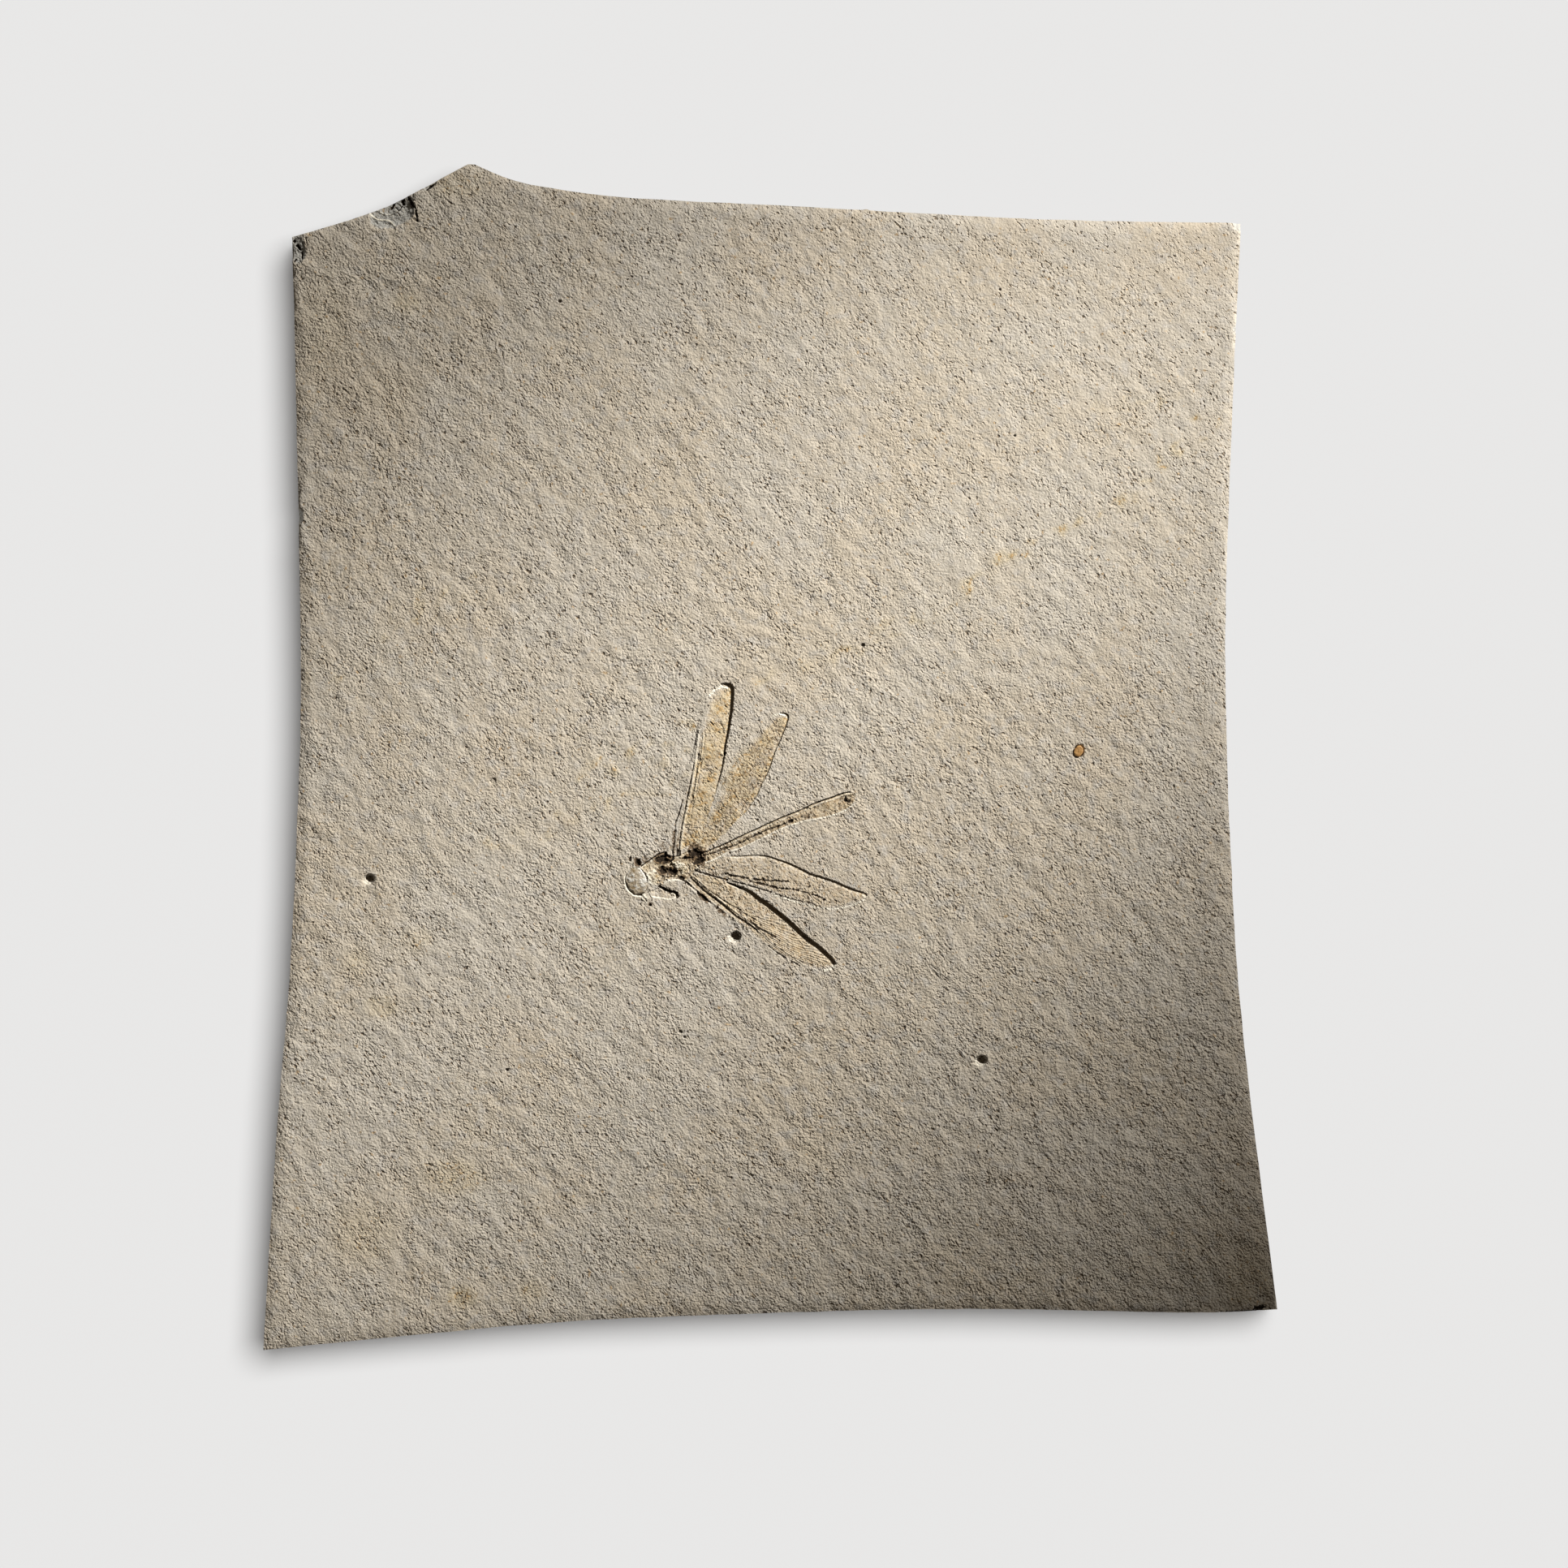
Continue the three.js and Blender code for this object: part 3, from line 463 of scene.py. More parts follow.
class Hollow:
    """A sunken shape between an upper and a lower edge that meet at its tip."""

    def __init__(self, upper, lower):
        self.upper = smooth_line(upper, 5)
        self.lower = smooth_line(lower, 5)
        self.loop = np.vstack((self.upper, self.lower[::-1]))
        steps = np.linspace(0, 1, 40)
        self.middle = (point_along(self.upper, steps) + point_along(self.lower, steps)) / 2

    def measure(self, spots):
        """Distance to each edge, share of the way across and along, and whether within."""
        to_upper, _ = nearest_on(self.upper, spots)
        to_lower, _ = nearest_on(self.lower, spots)
        _, along = nearest_on(self.middle, spots)
        share = to_upper / (to_upper + to_lower + 1e-6)
        return to_upper, to_lower, share, along, inside(self.loop, spots)


hollows = {name: Hollow(shape["upper"], shape["lower"]) for name, shape in HOLLOWS.items()}
fine_lines = [(smooth_line(points, 5), *rest) for points, *rest in LINES]

# Pits dissolved in the face: middle, radius, depth, and whether one side slopes.
PITS = [
    ((-87.1, -26.5), 1.05, 1.15, True), ((-7.5, -39.1), 1.15, 1.0, True),
    ((46.1, -66.0), 1.1, 1.2, True), ((-57.3, -68.2), 0.4, 0.5, False),
    ((-45.8, 99.1), 0.42, 0.5, False), ((20.2, 24.2), 0.45, 0.5, False),
    ((-19.6, -60.0), 0.5, 0.3, False), ((-18.7, -61.1), 0.35, 0.3, False),
    ((53.2, 69.8), 0.3, 0.35, False), ((50.0, 101.6), 0.35, 0.3, False),
    ((-60.4, -5.3), 0.7, 0.2, False),
]
PIT_SLOPE_TURN = math.radians(41)   # the side that stays steep
PIT_APRON_SHIFT = 0.45              # how far the slope's middle lies from the hole's, in radii
# Flakes knocked off the rim, leaving facets: middle, radii, turn in radians and depth.
FACET_SIZE = 1.5
CHIPS = [
    ((-82.2, 118.6), (5.4, 3.4), 0.42, 0.9),
    ((-74.4, 124.4), (1.8, 1.0), 0.46, 0.6),
    ((-102.9, 110.6), (1.7, 3.4), 0.1, 0.5),
    ((-102.6, 52.2), (0.9, 1.7), 0.0, 2.2),
    ((101.8, 93.0), (0.9, 1.3), 0.0, 0.9),
    ((99.9, 44.6), (0.5, 0.6), 0.0, 0.8),
    ((102.1, 115.8), (1.4, 1.3), 0.0, 1.0),
]

# ------------------------------------------------------------------ limestone slab: its mesh
# A block is divided into a fine face over plain sides and a flat underside, and the face is
# divided again and again near the imprint, the pits and the chips.
CELLS = (33, 39)                    # across and up
SIDE_ROWS = 3
FACE_CUTS = 3                       # more cuts through each edge that is not on the underside
AREA_REACH = (3.0, 1.4)             # how far the first divisions reach round every detail
EDGE_REACH = (0.45, 0.2)            # and the last ones, round edges and lines only
FAR_OFF = 1e3                       # stands for no detail near by
WIDEST_REACH = 4                    # distances beyond this are not measured
LOW_LIP = 0.05                      # edges with lower steps than these need no fine mesh
LOW_SILL = 0.09
EDGE_HALF = 0.1                     # half the width that an edge's step takes up
ROUND_EDGE = 1.1                    # where a round detail's edge lies, in radii
TOP_LEVEL = 0.999                   # corners above this share of the height are on the face

block = bmesh.new()
bmesh.ops.create_grid(block, x_segments=CELLS[0], y_segments=CELLS[1], size=0.5)
raised = bmesh.ops.extrude_face_region(block, geom=block.faces[:])
raised_verts = [part for part in raised["geom"] if isinstance(part, bmesh.types.BMVert)]
bmesh.ops.translate(block, verts=raised_verts, vec=(0, 0, 1))
uprights = [edge for edge in block.edges if edge.verts[0].co.z != edge.verts[1].co.z]
bmesh.ops.subdivide_edges(block, edges=uprights, cuts=SIDE_ROWS - 1, use_grid_fill=True)
above = [edge for edge in block.edges if edge.verts[0].co.z + edge.verts[1].co.z > 0]
bmesh.ops.subdivide_edges(block, edges=above, cuts=FACE_CUTS, use_grid_fill=True)


def round_detail(spots, edges_only):
    """How far each spot is from the nearest thing that needs a fine mesh."""
    nearest = np.full(len(spots), FAR_OFF)

    def closer(chosen, gaps):
        nearest[chosen] = np.minimum(nearest[chosen], gaps)

    for name, hollow in hollows.items():
        near = round_about(hollow.loop, WIDEST_REACH, spots)
        to_upper, to_lower, _, along, within = hollow.measure(spots[near])
        if edges_only:
            sharp = np.interp(along, *zip(*HOLLOWS[name]["lip"])) > LOW_LIP
            sloped = np.interp(along, *zip(*HOLLOWS[name]["sill"])) > LOW_SILL
            closer(near, np.where(sharp, to_upper - EDGE_HALF, FAR_OFF))
            closer(near, np.where(sloped, to_lower - EDGE_HALF, FAR_OFF))
        else:
            closer(near, np.where(within, 0, np.minimum(to_upper, to_lower)))
    for line, half_width, *_ in fine_lines:
        near = round_about(line, WIDEST_REACH, spots)
        closer(near, nearest_on(line, spots[near])[0] - half_width)
    rounds = [(middle, radii, math.radians(turn)) for middle, radii, turn, _, _ in SPOTS]
    rounds += [(middle, (radius, radius), 0) for middle, radius, _, _ in PITS]
    rounds += [(HEAD_PLACE, HEAD_RADII, HEAD_TURN)]
    rounds += [(LIMONITE_PLACE, LIMONITE_RADII, LIMONITE_TURN)]
    if not edges_only:
        rounds += [(middle, radii, turn) for middle, radii, turn, _ in CHIPS]
    for middle, radii, turn in rounds:
        gap = (turned(spots, middle, turn, radii) - ROUND_EDGE) * min(radii)
        closer(slice(None), np.abs(gap) if edges_only else np.maximum(gap, 0))
    return nearest


for reach in AREA_REACH + EDGE_REACH:
    block.verts.index_update()
    flat = np.array([vert.co[:] for vert in block.verts])
    spots = lay_out(flat[:, 0] + 0.5, flat[:, 1] + 0.5)
    fine = flat[:, 2] > TOP_LEVEL
    fine[fine] = round_detail(spots[fine], reach in EDGE_REACH) < reach
    chosen = [edge for edge in block.edges
              if fine[edge.verts[0].index] and fine[edge.verts[1].index]]
    bmesh.ops.subdivide_edges(block, edges=chosen, cuts=1, use_grid_fill=True)

bmesh.ops.recalc_face_normals(block, faces=block.faces)
bmesh.ops.triangulate(block, faces=[face for face in block.faces if len(face.verts) > 4])
for face in block.faces:
    face.smooth = True


def new_object(name, shape):
    """An object in the scene, made of a bmesh that is then freed."""
    mesh = bpy.data.meshes.new(name)
    shape.to_mesh(mesh)
    shape.free()
    made = bpy.data.objects.new(name, mesh)
    scene.collection.objects.link(made)
    return made


limestone_slab = new_object("limestone_slab_stone", block)
slab_mesh = limestone_slab.data

# ------------------------------------------------------------------ limestone slab: its relief
# The face rolls gently and is pitted and chipped, the imprint lies a few tenths of a millimetre
# deep, and the broken sides are rough with the bedding showing as low ledges.
HALF_SIZE = (105, 130)
SWELL = 0.16
SWELL_SIZE = 60
RIPPLE = 0.05
RIPPLE_SIZE = 6.5
WALL = 0.12                # run of a hollow's upper edge, from the face down to its floor
SILL_RUN = 0.28            # run of its lower edge, which slopes
SHADE_RUN = 1.6            # where the floor begins to climb, in depths of the step
CLIMB_RUN = 0.22
FULL_CLIMB_LIP = 0.1       # the floor climbs in full where the step is at least this deep
GRIT_SIZE = 0.45
WALL_RAGGED = 0.08
SILL_START = -0.05
FLOOR_CURVE = 1.2          # over 1, the floor rises quicker near its upper edge
STAIN_CLOUD = 2.4          # size of the clouds in a hollow's film and iron
FILM_CLOUDS = 0.35
IRON_CLOUDS = 1.1
# Painted highlights: the pale bands where the floor climbs towards the light and on the sill.
LIT_FLOOR_SHADE = -0.5     # pale bands where the floor climbs and on the slope of the sill
LIT_SILL_SHADE = -0.45
RIM_LEVEL = 0.4999         # corners this far from the grid's middle are on the outline
UNDERSIDE_LEVEL = 0.001
SIDE_LEVEL = 0.97          # the sides' colour starts below this share of the height

corner_places = np.empty(len(slab_mesh.vertices) * 3)
slab_mesh.vertices.foreach_get("co", corner_places)
corner_places = corner_places.reshape(-1, 3)
level = corner_places[:, 2].copy()
spots = lay_out(corner_places[:, 0] + 0.5, corner_places[:, 1] + 0.5)
on_face = level > TOP_LEVEL
on_rim = (np.abs(corner_places[:, :2]) > RIM_LEVEL).any(1)

height = np.full(len(spots), TOP)
masks = {name: np.zeros(len(spots)) for name in
         ("wing_film", "iron", "mould_and_shade", "soot_and_shadow", "crust_and_highlight", "vein_phase", "vein_strength", "broken",
          "side", "coarse")}


def stain(name, chosen, values):
    masks[name][chosen] = np.maximum(masks[name][chosen], values)


def mark(chosen, strength, shade):
    """Paints some spots dark, as painted shadow or dark remains, or pale where the shade is
    below zero, as painted highlight or cream crust.
    """
    stain("soot_and_shadow" if shade > 0 else "crust_and_highlight", chosen, strength * abs(shade))


# The split is smoothest at the upper right and coarsest at the lower right corner.
half_way = spots / HALF_SIZE
masks["coarse"] = (1.08 - 0.25 * half_way[:, 1] - 0.48 * half_way[:, 0] * half_way[:, 1]
                   + 0.08 * half_way[:, 0]**2 + 0.15 * half_way[:, 1]**2)
height[on_face] += SWELL * rough(spots[on_face], SWELL_SIZE, 2, 3.0)
height[on_face] += RIPPLE * rough(spots[on_face], RIPPLE_SIZE, 4, 9.0)

# Fine cross veins show in one wing. They slant back towards its root, most at the lower edge.
VEINED_WING = "right_hind_wing"
VEINS_ALONG = 27
VEIN_SPREAD = 1.02         # divides their number, and so widens the gaps between them
for name, shape in HOLLOWS.items():
    near = round_about(hollows[name].loop, 0.5, spots)
    near = near[on_face[near]]
    here = spots[near]
    to_upper, to_lower, share, along, within = hollows[name].measure(here)
    lip = np.interp(along, *zip(*shape["lip"]))
    sill = np.interp(along, *zip(*shape["sill"]))
    grit = rough(here, GRIT_SIZE, 2, 5.0)
    depth = sill + (lip - sill) * (1 - share) ** FLOOR_CURVE
    climbed = ramp(to_upper, SHADE_RUN * lip, SHADE_RUN * lip + CLIMB_RUN)
    depth -= shape["climb"] * climbed * np.minimum(1, lip / FULL_CLIMB_LIP)
    depth *= ramp(to_upper + WALL_RAGGED * grit, 0, WALL) * ramp(to_lower, SILL_START, SILL_RUN)
    height[near] += np.where(within, shape["rough"] * grit - depth, 0)
    covered = within * ramp(to_lower, 0, shape["fade"])
    cloudy = rough(here, STAIN_CLOUD, 3, 67.0)
    stain("wing_film", near, shape["film"] * covered * (1 + FILM_CLOUDS * cloudy))
    stain("iron", near, shape["iron"] * covered * (1 + IRON_CLOUDS * cloudy))
    stain("mould_and_shade", near, shape["mould_and_shade"] * covered)
    # Painted highlight where the floor climbs back past the lip's shade, and on the sill's slope.
    past_shade = to_upper - SHADE_RUN * lip
    bright = ramp(past_shade, 0.02, 0.1) * (1 - ramp(past_shade, 0.2, 0.32)) * ramp(lip, 0.04, 0.12)
    mark(near, within * bright, LIT_FLOOR_SHADE)
    lit_slope = (1 - ramp(to_lower, 0.1, 0.26)) * ramp(sill, 0.04, 0.1)
    mark(near, within * lit_slope, LIT_SILL_SHADE)
    if name == VEINED_WING:
        shown = within * ramp(along, 0.3, 0.65) * ramp(np.minimum(to_upper, to_lower), 0.3, 0.8)
        shown *= 0.6 + 0.6 * rough(here, 2.5, 2, 81.0)
        masks["vein_strength"][near] = shown
        slant = to_upper * (0.9 + 1.3 * share)
        masks["vein_phase"][near] = (VEINS_ALONG * along + slant) / VEIN_SPREAD
        masks["vein_phase"][near] += 0.3 * rough(here, 2.0, 2, 91.0)

BEAD_SIZE = 0.8
LINE_REACH = 1.6           # how far out a line is looked for, in half widths
LINE_RAGGED = 0.5
# Lines are cut in and painted: dark as shadow and dark remains, pale as highlights or crust.
for line, half_width, deep, shade, beading in fine_lines:
    near = round_about(line, 2 * half_width, spots)
    near = near[on_face[near]]
    gap, _ = nearest_on(line, spots[near])
    near = near[gap < LINE_REACH * half_width]
    gap = gap[gap < LINE_REACH * half_width]
    beads = rough(spots[near], BEAD_SIZE, 2, 31.0)
    shown = 1 - beading * ramp(beads, -0.3, 0.3)
    gap = gap / half_width + LINE_RAGGED * rough(spots[near], 0.6, 2, 41.0)
    height[near] -= deep * shown * (1 - ramp(gap, 0.1, 1.3 * shown + 0.1))
    mark(near, 1 - ramp(gap, 0.5 * shown, 1.2 * shown + 0.05), shade)

SPOT_REACH = 2.2
SPOT_RAGGED = 0.55
# Spots likewise: painted shadow and dark remains, or pale highlights and cream crust.
for place, radii, turn, deep, shade in SPOTS:
    reach = turned(spots, place, math.radians(turn), radii)
    near = np.flatnonzero((reach < SPOT_REACH) & on_face)
    wobble = reach[near] + SPOT_RAGGED * rough(spots[near], 0.7, 3, 51.0)
    height[near] -= deep * (1 - ramp(wobble, 0.45, 1.1))
    mark(near, 1 - ramp(wobble, 0.7, 1.15), shade)

# The head's socket is open by a hairline on its lower left, where a rim slopes down to it. The
# hairline is painted dark as its shadow, and the rim's slope pale as a highlight.
CLOSED_SIDE = (0.755, 0.656)
RIM_STEP = 0.3
SOCKET_REACH = 5
SOCKET_RAGGED = 0.05
HAIRLINE_SHADE = 1
RIM_SHADE = -0.9
near = np.flatnonzero((np.hypot(*(spots - HEAD_PLACE).T) < SOCKET_REACH) & on_face)
reach = turned(spots[near], HEAD_PLACE, HEAD_TURN, HEAD_RADII)
reach += SOCKET_RAGGED * rough(spots[near], 1.6, 2, 61.0)
offset = spots[near] - HEAD_PLACE
open_side = ramp(-(offset @ CLOSED_SIDE) / np.hypot(*offset.T), 0.2, 0.5)
height[near] -= RIM_STEP * open_side * (1 - ramp(reach, 1.06, 1.17))
socket = 1 - ramp(reach, 1.0, 1.03 + 0.03 * open_side)
height[near] -= (HEAD_DEPTH - RIM_STEP * open_side) * socket
mark(near, open_side * ramp(reach, 0.97, 1.02) * (1 - ramp(reach, 1.07, 1.11)), HAIRLINE_SHADE)
mark(near, open_side * ramp(reach, 1.07, 1.11) * (1 - ramp(reach, 1.15, 1.24)), RIM_SHADE)
seat = turned(spots, LIMONITE_PLACE, LIMONITE_TURN, LIMONITE_RADII)
height -= np.where(on_face, LIMONITE_SEAT * (1 - ramp(seat, 1.05, 1.3)), 0)

PIT_OVAL = (1.1, 0.95)
APRON_OVAL = (1.2, 1.0)
PIT_RAGGED = 0.07
APRON_DEEP = 0.4           # in depths of the pit
# The apron that faces the light is painted pale as a highlight, and the hole dark as its shadow.
APRON_SHADE = -0.55
HOLE_SHADE = 0.4
away = np.array((math.cos(PIT_SLOPE_TURN), math.sin(PIT_SLOPE_TURN)))
for middle, radius, deep, sloped in PITS:
    reach = turned(spots, middle, 0, [share * radius for share in PIT_OVAL])
    near = np.flatnonzero((reach < 4) & on_face)
    ragged = PIT_RAGGED * rough(spots[near], 1.1, 2, 11.0)
    bowl = deep * (1 - ramp(reach[near] + ragged, 0.75, 1.05))
    if sloped:
        apron = turned(spots[near], middle - away * PIT_APRON_SHIFT * radius, 0,
                       [share * radius for share in APRON_OVAL])
        bevel = APRON_DEEP * deep * (1 - ramp(apron + ragged, 0.75, 1.1))
        mark(near, ramp(bevel, 0.05, 0.2) * (bowl < 0.3 * deep), APRON_SHADE)
        bowl = np.maximum(bowl, bevel)
    height[near] -= bowl
    mark(near, ramp(bowl, 0.6 * deep, 0.9 * deep), HOLE_SHADE)

CHIP_RAGGED = 0.16
for middle, radii, turn, deep in CHIPS:
    reach = turned(spots, middle, turn, radii)
    near = np.flatnonzero(reach < 1.4)
    ragged = reach[near] + CHIP_RAGGED * rough(spots[near], 1.6, 3, 13.0)
    bowl = np.sqrt(np.clip(1 - ragged**2, 0, 1))
    facets = np.array([noise.voronoi(Vector((*spot, middle[0])) / FACET_SIZE)[0][0]
                       for spot in spots[near]])
    height[near] -= deep * bowl * (0.75 + 0.5 * facets)
    stain("broken", near, ramp(bowl, 0, 0.3))

# The rim is worn down a little, and the sides below it are broken back in ledges.
WORN_RIM = 0.35
SIDE_ROUGH = 1.0
SIDE_LEAN = 0.35
LIP_ROUGH = 0.1
LUMP_SIZE = 6.0
LIP_SHARE = 0.25           # how far down the sides the lip reaches
LEDGE_LENGTH = 14
LEDGE_SHARPNESS = 4
BEDDING_STEP = 0.6
BED_THICK = 3.0
UNDERCUT = 0.8
height[on_rim] -= WORN_RIM * (1 + 0.8 * rough(spots[on_rim], 3.0, 3, 17.0))
solid_places = np.column_stack((spots, level * height))
solid_places[(level < UNDERSIDE_LEVEL), 2] = 0

outward = spots[on_rim] / np.hypot(*spots[on_rim].T)[:, None]
rim_places = solid_places[on_rim]
layers = np.column_stack((rim_places[:, :2] / LEDGE_LENGTH, rim_places[:, 2:] / BED_THICK))
ledges = np.tanh(LEDGE_SHARPNESS * rough(layers, 1.0, 3, 0.4))
lumps = rough(rim_places, LUMP_SIZE, 5, 23.0)
share_down = 1 - level[on_rim]
below_lip = ramp(share_down, 0, LIP_SHARE)
push = 0.5 * BEDDING_STEP * (ledges - 1) * below_lip
push += SIDE_ROUGH * (lumps - SIDE_LEAN) * below_lip + LIP_ROUGH * lumps
push -= UNDERCUT * ramp(share_down, 0.85, 1.0)
solid_places[on_rim, :2] += outward * push[:, None]
masks["side"][on_rim & (level < SIDE_LEVEL)] = 1.0

# Iron has seeped along old cracks, in beaded trails, and spread in patches. A trail has its points,
# half width and strength, and a patch its place, radii, turn in degrees and strength.
IRON_TRAILS = [
    ([(-1.6, 16.3), (6.4, 20.7), (16.1, 23.3), (26.7, 28.6), (37.3, 32.2), (47, 40.1),
      (56.7, 46.3), (69.1, 51.6), (79.7, 58.7), (86.7, 64.8), (97.3, 71)], 4.0, 0.5),
    ([(70, 75.4), (79.7, 78.1), (90.3, 76.3), (95.6, 71)], 4.0, 0.45),
    ([(-97.9, 16.3), (-88.2, 25.1), (-75.8, 33), (-63.4, 40.1)], 7.0, 0.35),
    ([(-45.8, -3.2), (-33.4, -1.4), (-21, 3), (-13.6, 6.9)], 6.0, 0.45),
    ([(-61.7, -20.8), (-45.8, -14.1), (-33.4, -10.2), (-21, -4.9)], 6.0, 0.4),
]
IRON_PATCHES = [
    ((-84.6, -54.4), (4.9, 3.9), 0, 0.5),
    ((-89.9, -44.7), (4.4, 5.3), 0, 0.42),
    ((-76.7, -40.3), (5.3, 4.4), 0, 0.4),
    ((-68.7, -91.5), (9.7, 5.7), 0, 0.5),
    ((-67, -117.7), (4.9, 3.5), 0, 0.6),
    ((-88.2, -103.9), (10.6, 10.6), 0, 0.4),
    ((-51.9, -116.3), (4.4, 3.5), 0, 0.45),
    ((-79.3, 98.9), (4.9, 4.2), 0, 0.45),
    ((-97, 94), (8.8, 19.4), 0, 0.33),
    ((9, -86.2), (5.3, 4.6), 0, 0.35),
    ((-82.9, 79.9), (10.6, 10.6), 0, 0.3),
    ((-67.8, 124.9), (10.6, 5.3), 0, 0.42),
    ((104.4, -114.5), (8.8, 10.6), 0, 0.4),
    ((-19, -24.6), (1.3, 1.0), 0, 0.75),
    ((-24.7, -26), (0.7, 0.7), 0, 0.9),
    ((-17, -18.2), (2.1, 1.6), 0, 0.75),
    ((-14.5, -9.5), (2.2, 6.5), -12, 0.62),
    ((-11, -1), (2.0, 5), -10, 0.45),
    ((-9.8, 8.5), (1.4, 9), -8, 0.6),
    ((-6.5, -2.5), (3.0, 8.0), -35, 0.62),
]
# Mould has left brown specks, thickest on the thorax and at the roots of the wings. Those on the
# thorax and along the lower edge of the right hind wing are partly painted shadow.
MOULD_AND_SHADE_PATCHES = [
    ((-23.5, -22.3), (2.2, 1.5), 0, 1),
    ((-16.1, -21.7), (2.5, 1.5), 0, 1.1),
    ((-16.6, -19.7), (1.7, 1.5), 0, 0.7),
    ((-14.8, -20.6), (1.1, 1.3), 0, 0.6),
    ((-15.4, -23), (1.6, 1.1), 0, 0.95),
    ((-23.5, -24.9), (1.3, 1.5), 0, 0.85),
    ((-21.4, -25), (1.8, 1.2), 0, 0.8),
    ((-23.1, -19.5), (1.6, 1.6), 0, 0.45),
    ((-28.9, -23), (1.1, 1.2), 0, 0.95),
    ((-27.1, -22.6), (1.5, 1), 0, 0.55),
    ((-30.5, -22.3), (0.4, 0.7), 0, 0.8),
    ((-21, -18.5), (0.5, 3.6), 0, 0.62),
    ((-20.1, -18.4), (0.4, 3.5), -6, 0.5),
    ((-19.1, -26.4), (1, 0.6), 0, 0.85),
    ((-14.7, -30.6), (1.9, 0.8), -42, 0.8),
    ((-10.9, -33.6), (2.5, 0.7), -42, 0.6),
    ((-26.1, -32.2), (0.6, 0.4), 0, 0.95),
]
TRAIL_STRENGTH = 1.4
TRAIL_REACH = 1.3
broken_up = np.clip(0.4 + 1.3 * rough(spots[on_face], 3.0, 3, 71.0), 0, 1.3)
for points, half_width, strength in IRON_TRAILS:
    gap, _ = nearest_on(smooth_line(points, 5), spots[on_face])
    faded = 1 - ramp(gap, 0, TRAIL_REACH * half_width)
    stain("iron", on_face, TRAIL_STRENGTH * strength * broken_up * faded)
for name, patches in (("iron", IRON_PATCHES), ("mould_and_shade", MOULD_AND_SHADE_PATCHES)):
    for place, radii, turn, strength in patches:
        reach = turned(spots[on_face], place, math.radians(turn), radii)
        stain(name, on_face, strength * (1 - ramp(reach, 0.3, 1.35)))

slab_mesh.vertices.foreach_set("co", (solid_places * MM).ravel())
for name, values in masks.items():
    layer = slab_mesh.attributes.new(name, "FLOAT", "POINT")
    layer.data.foreach_set("value", values.astype(np.float32))
SHARP_ANGLE = math.radians(62)
slab_mesh.set_sharp_from_angle(angle=SHARP_ANGLE)
slab_mesh.update()

# ------------------------------------------------------------------ limestone slab: its material
# Pale beige lime mud stone with a fine sandy split face. Iron has stained it orange in patches
# and dotted trails, and a thin tan film is left in the wings. Shadows and highlights are painted
# into its colour as well, along the imprint, in the pits, at the head's socket, on the flakes of
# the rim and at one corner.


def add(tree, kind, inputs=None, **settings):
    """A shader node with its settings, and each input set to a value or joined to a socket."""
    made = tree.nodes.new(kind)
    for name, value in settings.items():
        setattr(made, name, value)
    for name, value in (inputs or {}).items():
        if isinstance(value, bpy.types.NodeSocket):
            tree.links.new(value, made.inputs[name])
        else:
            made.inputs[name].default_value = value
    return made


def math_node(tree, operation, first, second=0.0):
    return add(tree, "ShaderNodeMath", {0: first, 1: second}, operation=operation).outputs[0]


def times(tree, first, second):
    return math_node(tree, "MULTIPLY", first, second)


def noise_value(tree, vector, scale, detail, roughness=0.5):
    return add(tree, "ShaderNodeTexNoise", {"Vector": vector, "Scale": scale, "Detail": detail,
                                            "Roughness": roughness}).outputs[0]


def blend_colours(tree, amount, first, second):
    """A mix of two colours, each a value or a socket."""
    made = add(tree, "ShaderNodeMix", data_type="RGBA")
    for index, value in ((0, amount), (6, first), (7, second)):
        if isinstance(value, bpy.types.NodeSocket):
            tree.links.new(value, made.inputs[index])
        else:
            made.inputs[index].default_value = value
    return made.outputs[2]


def stepped(tree, value, low, high):
    """0 below low, 1 above high, and a smooth rise between."""
    made = add(tree, "ShaderNodeMapRange", {"Value": value, "From Min": low, "From Max": high},
               interpolation_type="SMOOTHSTEP")
    return made.outputs["Result"]


def new_group(name, inputs, outputs):
    """An empty shader node group with named sockets, and its two end nodes."""
    tree = bpy.data.node_groups.new(name, "ShaderNodeTree")
    for socket, kind, value in inputs:
        made = tree.interface.new_socket(socket, in_out="INPUT", socket_type=kind)
        if value is not None:
            made.default_value = value
    for socket, kind in outputs:
        tree.interface.new_socket(socket, in_out="OUTPUT", socket_type=kind)
    return tree, tree.nodes.new("NodeGroupInput"), tree.nodes.new("NodeGroupOutput")


def new_material(thing, name):
    """A new material on an object: its empty shader tree, and the place that is shaded."""
    material = bpy.data.materials.new(name)
    material.use_nodes = True
    thing.data.materials.append(material)
    tree = material.node_tree
    tree.nodes.clear()
    return tree, add(tree, "ShaderNodeTexCoord").outputs["Object"]


# The split face rolls in waves longer across the light than along it, and carries sand and sharp
# pits, painted dark brown as the dirt in them and as their shadow. Both are thicker in busy zones
# and thinner in quiet ones.
GRAIN_LIE = math.radians(41)
GRAIN_STRETCH = 1.5
stone_grain, grain_in, grain_out = new_group(
    "stone_grain",
    [("Vector", "NodeSocketVector", None), ("Zone Scale", "NodeSocketFloat", 170.0),
     ("Wave Scale", "NodeSocketFloat", 300.0), ("Sand Scale", "NodeSocketFloat", 1900.0),
     ("Pit Scale", "NodeSocketFloat", 1450.0), ("Pit Depth", "NodeSocketFloat", 0.6)],
    [("Height", "NodeSocketFloat"), ("Dirt And Shade", "NodeSocketFloat")],
)
swung = add(stone_grain, "ShaderNodeVectorRotate",
            {"Vector": grain_in.outputs["Vector"], "Angle": -GRAIN_LIE},
            rotation_type="Z_AXIS").outputs[0]
